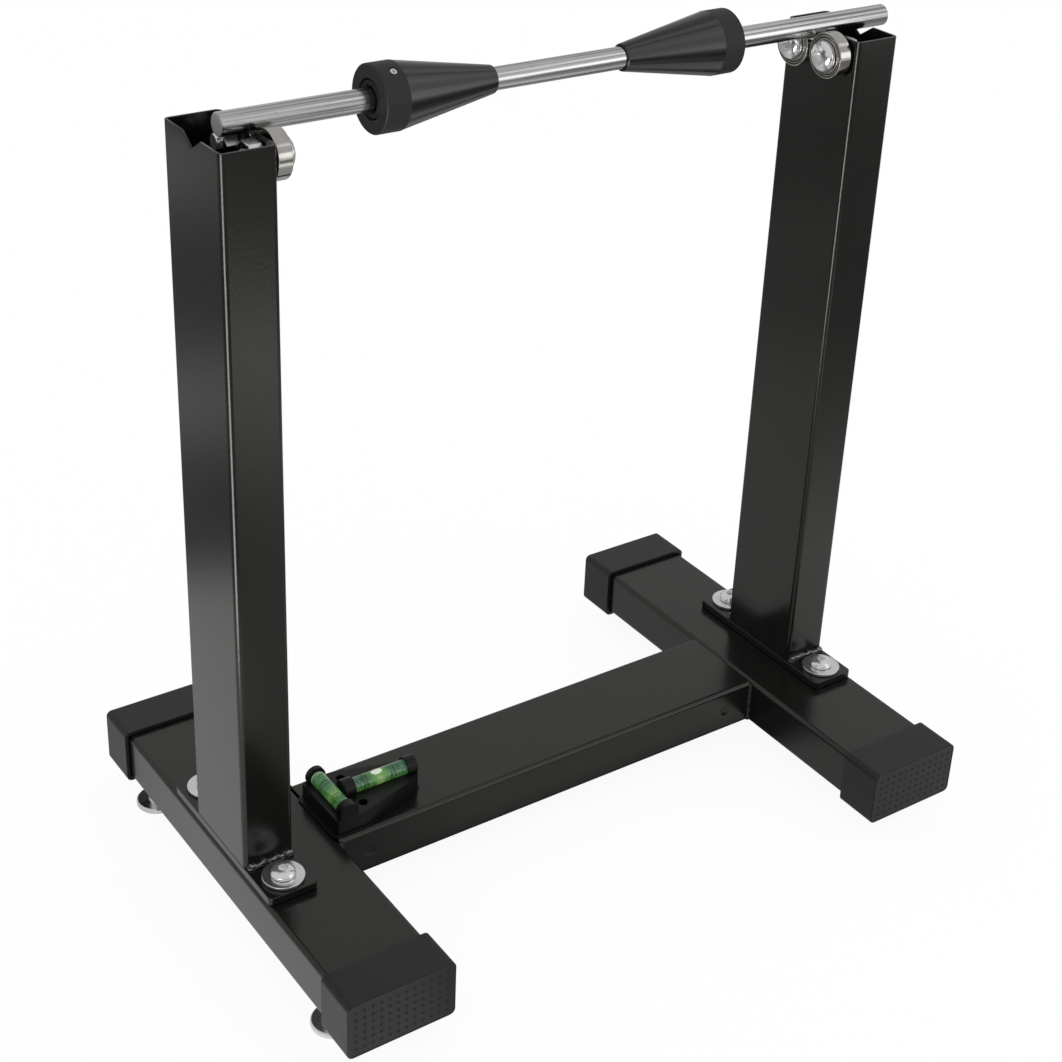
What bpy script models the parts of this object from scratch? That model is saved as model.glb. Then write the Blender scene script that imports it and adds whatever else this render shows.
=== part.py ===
"""Motorcycle wheel balancer: an axle with two centring cones rolls on four ball bearings between two uprights.

Metres, +Z up, X along the axle, -Y the front. The origin is on the floor, in the middle of the whole part's box.
"""

import math

import bmesh
import bpy
from mathutils import Euler, Matrix, Vector

# Clearances and overruns
SEAT_GAP = 0.0003
CUT_OVERRUN = 0.002
WELD_SINK = 0.0004
MERGE_DISTANCE = 0.000002

# Whole stand
STAND_WIDTH = 0.4228
FLOOR_CLEARANCE = 0.0158

# Foot tubes, lying along Y
FOOT_WIDTH = 0.060
FOOT_HEIGHT = 0.030
FOOT_LENGTH = 0.2928
FOOT_WALL = 0.0015
FOOT_CORNER = 0.003

# Connecting tube, lying along X between the foot tubes
BAR_DEPTH = 0.060
BAR_WALL = 0.0015
BAR_CORNER = 0.003
DIMPLE_RADIUS = 0.0035
DIMPLE_DEPTH = 0.0007
DIMPLE_FROM_END = 0.020

# Plastic end caps, slipped over the foot tubes
CAP_WALL = 0.0024
CAP_LENGTH = 0.0280
CAP_END_WALL = 0.003
CAP_CORNER = 0.0035
CAP_END_ROUND = 0.0012

# Uprights, standing on welded plates
UPRIGHT_DEPTH = 0.060
UPRIGHT_THICKNESS = 0.030
UPRIGHT_LENGTH = 0.411
UPRIGHT_WALL = 0.0015
UPRIGHT_CORNER = 0.003
UPRIGHT_INSET = 0.001
PLATE_THICKNESS = 0.005
PLATE_CORNER = 0.003
PLATE_RIM = 0.0008
WELD_LEG = 0.0035

# Screws that hold the plates to the foot tubes
WASHER_FROM_BEAD = 0.0004
PLATE_SCREW_RADIUS = 0.004
PLATE_SCREW_HEAD_RADIUS = 0.007
PLATE_SCREW_HEAD_HEIGHT = 0.0044
PLATE_SCREW_SOCKET_ACROSS = 0.005
PLATE_SCREW_SOCKET_DEPTH = 0.0026
PLATE_SCREW_TIP = 0.003
WASHER_RADIUS = 0.012
WASHER_THICKNESS = 0.002
WELD_NUT_ACROSS = 0.013
WELD_NUT_HEIGHT = 0.0065

# Levelling feet under the foot tubes
LEVELLER_RADIUS = 0.0125
LEVELLER_THICKNESS = 0.003
LEVELLER_ROUND = 0.0008
LEVELLER_NECK_RADIUS = 0.0065
LEVELLER_NECK_HEIGHT = 0.002
LEVELLER_STUD_RADIUS = 0.004
LEVELLER_STUD_TIP = 0.004
LEVELLER_FROM_SIDE = 0.011
LEVELLER_FROM_END = 0.0364

# Ball bearings, in pairs on the inner faces of the uprights
BEARING_RADIUS = 0.013
BEARING_WIDTH = 0.008
BEARING_BORE_RADIUS = 0.005
BEARING_EDGE = 0.0004
BEARING_PAIR_GAP = 0.0018
BEARING_BELOW_TOP = 0.0102
RING_LIP = 0.0016
INNER_RING_WALL = 0.0024
INNER_RING_GROOVE = 0.0011
SHIELD_THICKNESS = 0.0004
SHIELD_RECESS = 0.0004
OUTER_RING_WALL = 0.0013
CAGE_WALL = 0.0010
CAGE_WIDTH = 0.0026
BALL_COUNT = 7
SPACER_THICKNESS = 0.001
SPACER_INSET = 0.0002

# Bolts and nuts that carry the bearings
BEARING_BOLT_HEAD_RADIUS = 0.00875
BEARING_BOLT_HEAD_HEIGHT = 0.0052
BEARING_BOLT_SOCKET_ACROSS = 0.006
BEARING_BOLT_SOCKET_DEPTH = 0.003
BEARING_BOLT_TIP = 0.003
BEARING_NUT_ACROSS = 0.016
BEARING_NUT_HEIGHT = 0.008

# Axle and its notches in the uprights
AXLE_RADIUS = 0.006
AXLE_LENGTH = 0.422
AXLE_END_CHAMFER = 0.0006
AXLE_SHIFT = 0.014
NOTCH_BELOW_AXLE = 0.0038
NOTCH_BESIDE_AXLE = 0.0040

# Centring cones with their clamp screws and rubber rings
CONE_RADIUS = 0.0176
CONE_TIP_WALL = 0.0007
CONE_LENGTH = 0.0712
CONE_RIM_LENGTH = 0.0136
CONE_EDGE = 0.0007
LEFT_CONE_BACK = 0.1149
RIGHT_CONE_BACK = 0.1089
RUBBER_RING_RADIUS = 0.0018
RUBBER_RING_ROOM = 0.0011
GRUB_RADIUS = 0.002
GRUB_SINK = 0.0004
GRUB_SOCKET_ACROSS = 0.002
GRUB_SOCKET_DEPTH = 0.0018
GRUB_FROM_BACK = 0.009
LEFT_GRUB_ANGLE = math.radians(118)
RIGHT_GRUB_ANGLE = math.radians(-55)

# Spirit level with two vials on the connecting tube
LEVEL_LENGTH = 0.0625
LEVEL_WIDTH = 0.0420
LEVEL_SHOULDER = 0.0180
LEVEL_END_WIDTH = 0.0190
LEVEL_END_CHAMFER = 0.0040
LEVEL_HEIGHT = 0.0112
LEVEL_CORNER = 0.0012
LEVEL_TOWARDS_FRONT = 0.0060
VIAL_RADIUS = 0.0045
VIAL_ABOVE_TOP = 0.0028
VIAL_WALL_COVER = 0.0011
VIAL_END_WALL = 0.0015
CROSS_VIAL_FROM_EDGE = 0.0083
CROSS_SOCKET_FRONT = 0.0058
CROSS_SOCKET_REAR = 0.0030
LONG_VIAL_FROM_EDGE = 0.0146
LONG_SOCKET_LEFT = 0.0068
LONG_SOCKET_RIGHT = 0.0062
LEVEL_HOLE_RADIUS = 0.0028
LEVEL_HOLE_FROM_EDGE = 0.0214
LEVEL_HOLE_SPREAD = 0.0131

# Shares that shape outlines
HEAD_CROWN_SHARE = 0.62
HEAD_SHOULDER_SHARE = 0.88
HEAD_SHOULDER_HEIGHT_SHARE = 0.72
HEAD_RIM_SHARE = 0.25
NOTCH_TIP_SHARE = 0.04
GROOVE_FLANK_SHARE = 0.50
GROOVE_FLOOR_SHARE = 0.22
BEAD_BULGE_SHARE = 0.68
SCREW_TIP_SHARE = 0.25

# Counts of sides on round pieces and of steps on rounded corners
CONE_SIDES = 28
AXLE_SIDES = 20
RING_SIDES = 20
SMALL_SIDES = 14
HOLE_SIDES = 12
TORUS_SIDES = 6
BALL_SEGMENTS = 6
BALL_RINGS = 4
CORNER_STEPS = 3
CAP_STEPS = 3
CAP_END_STEPS = 2
SHARP_ANGLE = math.radians(35)
HEXAGON = 6

LEFT = -1
RIGHT = 1
FRONT = -1
REAR = 1
SIDES = {"left": LEFT, "right": RIGHT}
ENDS = {"front": FRONT, "rear": REAR}

# Places that follow from the sizes
FOOT_X = STAND_WIDTH / 2 - FOOT_WIDTH / 2
FOOT_INNER_X = STAND_WIDTH / 2 - FOOT_WIDTH
FOOT_TOP = FLOOR_CLEARANCE + FOOT_HEIGHT
PLATE_BOTTOM = FOOT_TOP + SEAT_GAP
PLATE_TOP = PLATE_BOTTOM + PLATE_THICKNESS
UPRIGHT_BOTTOM = PLATE_TOP + SEAT_GAP
UPRIGHT_TOP = UPRIGHT_BOTTOM + UPRIGHT_LENGTH
UPRIGHT_X = STAND_WIDTH / 2 - UPRIGHT_INSET - UPRIGHT_THICKNESS / 2
UPRIGHT_FACE_X = UPRIGHT_X - UPRIGHT_THICKNESS / 2
BEAD_REACH = SEAT_GAP + WELD_LEG
PLATE_SCREW_Y = UPRIGHT_DEPTH / 2 + BEAD_REACH + WASHER_FROM_BEAD + WASHER_RADIUS
PLATE_LENGTH = 2 * (PLATE_SCREW_Y + WASHER_RADIUS + PLATE_RIM)
LEVELLER_X = STAND_WIDTH / 2 - LEVELLER_FROM_SIDE
LEVELLER_Y = FOOT_LENGTH / 2 - LEVELLER_FROM_END
BEARING_Y = BEARING_RADIUS + BEARING_PAIR_GAP / 2
BEARING_Z = UPRIGHT_TOP - BEARING_BELOW_TOP
AXLE_REACH = BEARING_RADIUS + AXLE_RADIUS + SEAT_GAP
AXLE_Z = BEARING_Z + math.sqrt(AXLE_REACH**2 - BEARING_Y**2)
CAP_SIDE = SEAT_GAP + CAP_WALL
LEFT_REACH = STAND_WIDTH / 2 + CAP_SIDE
RIGHT_REACH = max(LEFT_REACH, AXLE_LENGTH / 2 + AXLE_SHIFT)
STAND_SHIFT = (LEFT_REACH - RIGHT_REACH) / 2
BALL_PITCH = (BEARING_BORE_RADIUS + INNER_RING_WALL - INNER_RING_GROOVE + BEARING_RADIUS - OUTER_RING_WALL) / 2
BALL_RADIUS = BALL_PITCH - BEARING_BORE_RADIUS - INNER_RING_WALL + INNER_RING_GROOVE - SEAT_GAP


def clear_scene():
    for obj in list(bpy.data.objects):
        bpy.data.objects.remove(obj, do_unlink=True)


def finish(name, colour, roughness, metallic, alpha=1.0):
    """A material with the piece's colour, roughness and metallic value."""
    made = bpy.data.materials.new(name)
    made.use_nodes = True
    shader = made.node_tree.nodes["Principled BSDF"]
    shader.inputs["Base Color"].default_value = (*colour, 1.0)
    shader.inputs["Roughness"].default_value = roughness
    shader.inputs["Metallic"].default_value = metallic
    shader.inputs["Alpha"].default_value = alpha
    return made


def empty(name, carrier, place):
    made = bpy.data.objects.new(name, None)
    bpy.context.scene.collection.objects.link(made)
    made.parent = carrier
    made.location = place
    return made


def put(name, mesh, coat, carrier, place, turn=(0, 0, 0)):
    """Places a piece. Pieces with one mesh may wear different finishes, so the finish sits on the object."""
    made = bpy.data.objects.new(name, mesh)
    bpy.context.scene.collection.objects.link(made)
    if not mesh.materials:
        mesh.materials.append(coat)
    made.material_slots[0].link = "OBJECT"
    made.material_slots[0].material = coat
    made.parent = carrier
    made.location = place
    made.rotation_euler = turn
    return made


def to_mesh(shape, name):
    bmesh.ops.remove_doubles(shape, verts=shape.verts, dist=MERGE_DISTANCE)
    bmesh.ops.recalc_face_normals(shape, faces=shape.faces)
    mesh = bpy.data.meshes.new(name)
    shape.to_mesh(mesh)
    shape.free()
    return smoothed(mesh)


def smoothed(mesh):
    mesh.shade_smooth()
    mesh.set_sharp_from_angle(angle=SHARP_ANGLE)
    return mesh


def bar_mesh(name, size, long_axis, corner, steps=CORNER_STEPS):
    """A box about its centre, with the four edges along one axis rounded."""
    shape = bmesh.new()
    bmesh.ops.create_cube(shape, size=1.0)
    bmesh.ops.scale(shape, vec=size, verts=shape.verts)
    half = size[long_axis] / 2
    edges = [edge for edge in shape.edges if abs(edge.verts[0].co[long_axis] - edge.verts[1].co[long_axis]) > half]
    bmesh.ops.bevel(shape, geom=edges, offset=corner, segments=steps, profile=0.5, affect="EDGES")
    return to_mesh(shape, name)


def turned_mesh(name, profile, sides, ring=False):
    """Turns corner points (radius, height) about +Z: a ring from a closed outline, else a full solid."""
    shape = bmesh.new()
    corners = [shape.verts.new((radius, 0, height)) for radius, height in profile]
    pairs = list(zip(corners, corners[1:]))
    if ring:
        pairs.append((corners[-1], corners[0]))
    edges = [shape.edges.new(pair) for pair in pairs]
    bmesh.ops.spin(
        shape, geom=corners + edges, cent=(0, 0, 0), axis=(0, 0, 1), angle=2 * math.pi, steps=sides, use_merge=True
    )
    return to_mesh(shape, name)


def prism_mesh(name, outline, height):
    """An outline in X and Y, raised along +Z."""
    shape = bmesh.new()
    floor = shape.faces.new([shape.verts.new((x, y, 0)) for x, y in outline])
    raised = bmesh.ops.extrude_face_region(shape, geom=[floor])["geom"]
    bmesh.ops.translate(shape, vec=(0, 0, height), verts=[v for v in raised if isinstance(v, bmesh.types.BMVert)])
    return to_mesh(shape, name)


def rod_mesh(name, radius, length, sides=HOLE_SIDES):
    """A plain round rod along +Z from its origin."""
    return turned_mesh(name, [(0, 0), (radius, 0), (radius, length), (0, length)], sides)


def hexagon(across):
    """Corner points of a hexagon, from its width across flats."""
    corner = across / 2 / math.cos(math.pi / HEXAGON)
    turns = [2 * math.pi * step / HEXAGON for step in range(HEXAGON)]
    return [(corner * math.cos(turn), corner * math.sin(turn)) for turn in turns]


def carved(name, mesh, steps):
    """The mesh after each boolean step of (operation, tool mesh, place, turn), free of its tools."""
    body = bpy.data.objects.new(name, mesh)
    bpy.context.scene.collection.objects.link(body)
    tools = []
    for operation, tool_mesh, place, turn in steps:
        tool = bpy.data.objects.new("tool", tool_mesh)
        bpy.context.scene.collection.objects.link(tool)
        tool.location = place
        tool.rotation_euler = turn
        tool.display_type = "WIRE"
        tool.hide_render = True
        step = body.modifiers.new(operation.lower(), "BOOLEAN")
        step.operation = operation
        step.solver = "EXACT"
        step.object = tool
        tools.append(tool)
    bpy.context.view_layer.update()
    graph = bpy.context.evaluated_depsgraph_get()
    made = bpy.data.meshes.new_from_object(body.evaluated_get(graph))
    made.name = name
    for helper in [body, *tools]:
        bpy.data.objects.remove(helper, do_unlink=True)
    return smoothed(made)


def cut(mesh, place, turn=(0, 0, 0)):
    return ("DIFFERENCE", mesh, place, turn)


def join(mesh, place, turn=(0, 0, 0)):
    return ("UNION", mesh, place, turn)


def button_screw_mesh(name, radius, length, head_radius, head_height, socket_across, socket_depth):
    """A button-head screw: its head is above z = 0 with a hexagon socket, and its shank hangs below."""
    tip = radius * SCREW_TIP_SHARE
    head = [
        (0, head_height),
        (head_radius * HEAD_CROWN_SHARE, head_height),
        (head_radius * HEAD_SHOULDER_SHARE, head_height * HEAD_SHOULDER_HEIGHT_SHARE),
        (head_radius, head_height * HEAD_RIM_SHARE),
        (head_radius, 0),
    ]
    shank = [(radius, 0), (radius, tip - length), (radius - tip, -length), (0, -length)]
    body = turned_mesh(name, head + shank, SMALL_SIDES)
    socket = prism_mesh("socket", hexagon(socket_across), socket_depth + CUT_OVERRUN)
    return carved(name, body, [cut(socket, (0, 0, head_height - socket_depth))])


def inward(side):
    """The turn that points a piece's own +Z from an upright towards the middle of the stand."""
    return (0, -side * math.pi / 2, 0)


def foot_tube(name, side, coat, stand):
    size = (FOOT_WIDTH, FOOT_LENGTH, FOOT_HEIGHT)
    hollow = (FOOT_WIDTH - 2 * FOOT_WALL, FOOT_LENGTH + 2 * CUT_OVERRUN, FOOT_HEIGHT - 2 * FOOT_WALL)
    tube = bar_mesh(name, size, 1, FOOT_CORNER)
    steps = [cut(bar_mesh("hollow", hollow, 1, FOOT_CORNER - FOOT_WALL), (0, 0, 0))]
    nut = prism_mesh("weld_nut", hexagon(WELD_NUT_ACROSS), WELD_NUT_HEIGHT + WELD_SINK)
    drilled = FOOT_WALL + WELD_NUT_HEIGHT + 2 * CUT_OVERRUN
    screw_hole = rod_mesh("screw_hole", PLATE_SCREW_RADIUS + SEAT_GAP, drilled)
    stud_hole = rod_mesh("stud_hole", LEVELLER_STUD_RADIUS + SEAT_GAP, drilled)
    screw_x = side * (UPRIGHT_X - FOOT_X)
    stud_x = side * (LEVELLER_X - FOOT_X)
    ceiling = FOOT_HEIGHT / 2 - FOOT_WALL
    for end in ENDS.values():
        screw_y = end * PLATE_SCREW_Y
        stud_y = end * LEVELLER_Y
        steps.append(join(nut, (screw_x, screw_y, ceiling - WELD_NUT_HEIGHT)))
        steps.append(join(nut, (stud_x, stud_y, -ceiling - WELD_SINK)))
        steps.append(cut(screw_hole, (screw_x, screw_y, ceiling - WELD_NUT_HEIGHT - CUT_OVERRUN)))
        steps.append(cut(stud_hole, (stud_x, stud_y, -FOOT_HEIGHT / 2 - CUT_OVERRUN)))
    place = (side * FOOT_X, 0, FLOOR_CLEARANCE + FOOT_HEIGHT / 2)
    return put(name, carved(name, tube, steps), coat, stand, place)


def connecting_tube(coat, stand):
    """The tube between the feet, flush with them, with a shallow round dimple near each end of its front."""
    length = 2 * (FOOT_INNER_X - SEAT_GAP)
    size = (length, BAR_DEPTH, FOOT_HEIGHT)
    hollow = (length + 2 * CUT_OVERRUN, BAR_DEPTH - 2 * BAR_WALL, FOOT_HEIGHT - 2 * BAR_WALL)
    tube = bar_mesh("connecting_tube", size, 0, BAR_CORNER)
    dimple = rod_mesh("dimple", DIMPLE_RADIUS, DIMPLE_DEPTH + CUT_OVERRUN)
    steps = [cut(bar_mesh("hollow", hollow, 0, BAR_CORNER - BAR_WALL), (0, 0, 0))]
    for side in SIDES.values():
        place = (side * (length / 2 - DIMPLE_FROM_END), DIMPLE_DEPTH - BAR_DEPTH / 2, 0)
        steps.append(cut(dimple, place, (math.pi / 2, 0, 0)))
    place = (0, 0, FLOOR_CLEARANCE + FOOT_HEIGHT / 2)
    return put("connecting_tube", carved("connecting_tube", tube, steps), coat, stand, place)


def end_cap_mesh():
    """A sleeve with a closed end towards +Y, its origin in the middle of the closed end's inner face."""
    size = (FOOT_WIDTH + 2 * CAP_SIDE, CAP_LENGTH, FOOT_HEIGHT + 2 * CAP_SIDE)
    shell = bar_mesh("end_cap", size, 1, CAP_CORNER, CAP_STEPS)
    shape = bmesh.new()
    shape.from_mesh(shell)
    face = max(shape.faces, key=lambda each: each.calc_center_median().y)
    bmesh.ops.bevel(
        shape,
        geom=list(face.edges),
        offset=CAP_END_ROUND,
        segments=CAP_END_STEPS,
        profile=0.5,
        affect="EDGES",
    )
    shell = to_mesh(shape, "end_cap")
    shell.transform(Matrix.Translation((0, CAP_END_WALL - CAP_LENGTH / 2, 0)))
    depth = CAP_LENGTH - CAP_END_WALL
    pocket_size = (FOOT_WIDTH + 2 * SEAT_GAP, depth + CUT_OVERRUN, FOOT_HEIGHT + 2 * SEAT_GAP)
    pocket = bar_mesh("pocket", pocket_size, 1, FOOT_CORNER + SEAT_GAP)
    return carved("end_cap", shell, [cut(pocket, (0, -(depth + CUT_OVERRUN) / 2, 0))])


def end_caps(coat, stand):
    mesh = end_cap_mesh()
    for side_name, side in SIDES.items():
        for end_name, end in ENDS.items():
            place = (side * FOOT_X, end * (FOOT_LENGTH / 2 + SEAT_GAP), FLOOR_CLEARANCE + FOOT_HEIGHT / 2)
            turn = (0, 0, 0) if end == REAR else (0, 0, math.pi)
            put(f"end_cap_{side_name}_{end_name}", mesh, coat, stand, place, turn)


def base_plate(name, side, coat, stand):
    """A drilled plate under an upright, with the weld that joins them along the upright's front and rear."""
    plate = bar_mesh(name, (UPRIGHT_THICKNESS, PLATE_LENGTH, PLATE_THICKNESS), 2, PLATE_CORNER)
    hole = rod_mesh("hole", PLATE_SCREW_RADIUS + SEAT_GAP, PLATE_THICKNESS + 2 * CUT_OVERRUN)
    bulge = WELD_LEG * BEAD_BULGE_SHARE
    outline = [
        (SEAT_GAP, -WELD_SINK),
        (BEAD_REACH, -WELD_SINK),
        (BEAD_REACH, 0),
        (SEAT_GAP + bulge, bulge),
        (SEAT_GAP, WELD_LEG),
    ]
    length = UPRIGHT_THICKNESS - 2 * UPRIGHT_CORNER
    bead = prism_mesh("bead", outline, length)
    steps = []
    for end in ENDS.values():
        steps.append(cut(hole, (0, end * PLATE_SCREW_Y, -PLATE_THICKNESS / 2 - CUT_OVERRUN)))
        turn = (math.pi / 2, 0, end * math.pi / 2)
        place = (-end * length / 2, end * UPRIGHT_DEPTH / 2, PLATE_THICKNESS / 2)
        steps.append(join(bead, place, turn))
    place = (side * UPRIGHT_X, 0, PLATE_BOTTOM + PLATE_THICKNESS / 2)
    return put(name, carved(name, plate, steps), coat, stand, place)


def upright(name, side, coat, stand):
    """A tube open at the top, with a V notch in both wide walls and two bolt holes in the inner one."""
    size = (UPRIGHT_THICKNESS, UPRIGHT_DEPTH, UPRIGHT_LENGTH)
    hollow = (
        UPRIGHT_THICKNESS - 2 * UPRIGHT_WALL,
        UPRIGHT_DEPTH - 2 * UPRIGHT_WALL,
        UPRIGHT_LENGTH + 2 * CUT_OVERRUN,
    )
    tube = bar_mesh(name, size, 2, UPRIGHT_CORNER)
    steps = [cut(bar_mesh("hollow", hollow, 2, UPRIGHT_CORNER - UPRIGHT_WALL), (0, 0, 0))]
    middle = UPRIGHT_BOTTOM + UPRIGHT_LENGTH / 2
    tip_z = AXLE_Z - AXLE_RADIUS - NOTCH_BELOW_AXLE - middle
    half = AXLE_RADIUS + NOTCH_BESIDE_AXLE
    depth = UPRIGHT_LENGTH / 2 - tip_z
    spread = half * (depth + CUT_OVERRUN) / depth
    tip = half * NOTCH_TIP_SHARE
    outline = [(-tip, 0), (tip, 0), (spread, depth + CUT_OVERRUN), (-spread, depth + CUT_OVERRUN)]
    notch_length = UPRIGHT_THICKNESS + 2 * CUT_OVERRUN
    notch = prism_mesh("notch", outline, notch_length)
    steps.append(cut(notch, (-notch_length / 2, 0, tip_z), (math.pi / 2, 0, math.pi / 2)))
    hole = rod_mesh("hole", BEARING_BORE_RADIUS + SEAT_GAP, UPRIGHT_WALL + 2 * CUT_OVERRUN)
    hole_x = -side * (UPRIGHT_THICKNESS / 2 - UPRIGHT_WALL - CUT_OVERRUN)
    for end in ENDS.values():
        steps.append(cut(hole, (hole_x, end * BEARING_Y, BEARING_Z - middle), inward(side)))
    return put(name, carved(name, tube, steps), coat, stand, (side * UPRIGHT_X, 0, middle))


def plate_screws(steel, zinc, stand):
    """The screw and broad washer at each end of both plates, down into the weld nuts."""
    grip = WASHER_THICKNESS + PLATE_THICKNESS + 3 * SEAT_GAP + FOOT_WALL + WELD_NUT_HEIGHT
    screw = button_screw_mesh(
        "plate_screw",
        PLATE_SCREW_RADIUS,
        grip + PLATE_SCREW_TIP,
        PLATE_SCREW_HEAD_RADIUS,
        PLATE_SCREW_HEAD_HEIGHT,
        PLATE_SCREW_SOCKET_ACROSS,
        PLATE_SCREW_SOCKET_DEPTH,
    )
    bore = PLATE_SCREW_RADIUS + SEAT_GAP
    outline = [(bore, 0), (WASHER_RADIUS, 0), (WASHER_RADIUS, WASHER_THICKNESS), (bore, WASHER_THICKNESS)]
    washer = turned_mesh("washer", outline, RING_SIDES, ring=True)
    washer_z = PLATE_TOP + SEAT_GAP
    screw_z = washer_z + WASHER_THICKNESS + SEAT_GAP
    for side_name, side in SIDES.items():
        for end_name, end in ENDS.items():
            x, y = side * UPRIGHT_X, end * PLATE_SCREW_Y
            put(f"plate_washer_{side_name}_{end_name}", washer, zinc, stand, (x, y, washer_z))
            put(f"plate_screw_{side_name}_{end_name}", screw, steel, stand, (x, y, screw_z))


def levelling_feet(coat, stand):
    """Discs on threaded studs, screwed up into the nuts of the foot tubes."""
    top = LEVELLER_THICKNESS
    length = FLOOR_CLEARANCE + FOOT_WALL + WELD_NUT_HEIGHT + LEVELLER_STUD_TIP
    profile = [
        (0, 0),
        (LEVELLER_RADIUS - LEVELLER_ROUND, 0),
        (LEVELLER_RADIUS, LEVELLER_ROUND),
        (LEVELLER_RADIUS, top - LEVELLER_ROUND),
        (LEVELLER_RADIUS - LEVELLER_ROUND, top),
        (LEVELLER_NECK_RADIUS, top),
        (LEVELLER_NECK_RADIUS, top + LEVELLER_NECK_HEIGHT),
        (LEVELLER_STUD_RADIUS, top + LEVELLER_NECK_HEIGHT),
        (LEVELLER_STUD_RADIUS, length),
        (0, length),
    ]
    mesh = turned_mesh("levelling_foot", profile, RING_SIDES)
    for side_name, side in SIDES.items():
        for end_name, end in ENDS.items():
            place = (side * LEVELLER_X, end * LEVELLER_Y, 0)
            put(f"levelling_foot_{side_name}_{end_name}", mesh, coat, stand, place)


def outer_ring_mesh():
    """The rolling ring with its two pressed-in shields, centred on its own axis."""
    half = BEARING_WIDTH / 2
    shield_bore = BEARING_BORE_RADIUS + INNER_RING_WALL + SEAT_GAP
    race = BEARING_RADIUS - OUTER_RING_WALL
    shield_top = half - SHIELD_RECESS
    upper = [
        (BEARING_RADIUS, half - BEARING_EDGE),
        (BEARING_RADIUS - BEARING_EDGE, half),
        (BEARING_RADIUS - RING_LIP, half),
        (BEARING_RADIUS - RING_LIP, shield_top),
        (shield_bore, shield_top),
        (shield_bore, shield_top - SHIELD_THICKNESS),
        (race, shield_top - SHIELD_THICKNESS),
    ]
    lower = [(radius, -height) for radius, height in reversed(upper)]
    return turned_mesh("bearing_outer_ring", upper + lower, RING_SIDES, ring=True)


def inner_ring_mesh():
    """The standing ring, with a groove for the balls."""
    half = BEARING_WIDTH / 2
    wall = BEARING_BORE_RADIUS + INNER_RING_WALL
    upper = [
        (BEARING_BORE_RADIUS, half),
        (wall, half),
        (wall, half * GROOVE_FLANK_SHARE),
        (wall - INNER_RING_GROOVE, half * GROOVE_FLOOR_SHARE),
    ]
    lower = [(radius, -height) for radius, height in reversed(upper)]
    return turned_mesh("bearing_inner_ring", upper + lower, SMALL_SIDES, ring=True)


def ball_cage_mesh():
    """The balls in the ring that keeps them apart."""
    half = CAGE_WIDTH / 2
    low, high = BALL_PITCH - CAGE_WALL / 2, BALL_PITCH + CAGE_WALL / 2
    outline = [(high, half), (low, half), (low, -half), (high, -half)]
    cage = turned_mesh("ball_cage", outline, 2 * BALL_COUNT, ring=True)
    shape = bmesh.new()
    bmesh.ops.create_uvsphere(shape, u_segments=BALL_SEGMENTS, v_segments=BALL_RINGS, radius=BALL_RADIUS)
    ball = to_mesh(shape, "ball")
    steps = []
    for step in range(BALL_COUNT):
        turn = 2 * math.pi * step / BALL_COUNT
        place = (BALL_PITCH * math.cos(turn), BALL_PITCH * math.sin(turn), 0)
        steps.append(join(ball, place, (0, 0, turn)))
    return carved("ball_cage", cage, steps)


def bearings(ring_coat, ball_coat, bolt_coat, nut_coat, stand):
    """Each bearing on its bolt: spacer, rings and balls outside the wall, and the nut inside it."""
    outer, inner, cage = outer_ring_mesh(), inner_ring_mesh(), ball_cage_mesh()
    bore = BEARING_BORE_RADIUS
    spacer_radius = bore + INNER_RING_WALL - SPACER_INSET
    outline = [(bore, 0), (spacer_radius, 0), (spacer_radius, SPACER_THICKNESS), (bore, SPACER_THICKNESS)]
    spacer = turned_mesh("bearing_spacer", outline, SMALL_SIDES, ring=True)
    nut_blank = prism_mesh("bearing_nut", hexagon(BEARING_NUT_ACROSS), BEARING_NUT_HEIGHT)
    nut_bore = rod_mesh("nut_bore", bore, BEARING_NUT_HEIGHT + 2 * CUT_OVERRUN)
    nut = carved("bearing_nut", nut_blank, [cut(nut_bore, (0, 0, -CUT_OVERRUN))])
    grip = BEARING_WIDTH + SPACER_THICKNESS + UPRIGHT_WALL + BEARING_NUT_HEIGHT + 4 * SEAT_GAP
    bolt = button_screw_mesh(
        "bearing_bolt",
        bore - SEAT_GAP,
        grip + BEARING_BOLT_TIP,
        BEARING_BOLT_HEAD_RADIUS,
        BEARING_BOLT_HEAD_HEIGHT,
        BEARING_BOLT_SOCKET_ACROSS,
        BEARING_BOLT_SOCKET_DEPTH,
    )
    spacer_start = SEAT_GAP
    bearing_middle = spacer_start + SPACER_THICKNESS + SEAT_GAP + BEARING_WIDTH / 2
    head_start = bearing_middle + BEARING_WIDTH / 2 + SEAT_GAP
    nut_start = -UPRIGHT_WALL - SEAT_GAP - BEARING_NUT_HEIGHT
    for side_name, side in SIDES.items():
        for end_name, end in ENDS.items():
            post = f"{side_name}_{end_name}"
            axis = empty(f"bearing_axis_{post}", stand, (side * UPRIGHT_FACE_X, end * BEARING_Y, BEARING_Z))
            axis.rotation_euler = inward(side)
            put(f"bearing_spacer_{post}", spacer, nut_coat, axis, (0, 0, spacer_start))
            put(f"bearing_inner_ring_{post}", inner, ring_coat, axis, (0, 0, bearing_middle))
            put(f"ball_cage_{post}", cage, ball_coat, axis, (0, 0, bearing_middle))
            put(f"bearing_outer_ring_{post}", outer, ring_coat, axis, (0, 0, bearing_middle))
            put(f"bearing_bolt_{post}", bolt, bolt_coat, axis, (0, 0, head_start))
            put(f"bearing_nut_{post}", nut, nut_coat, axis, (0, 0, nut_start))


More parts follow.
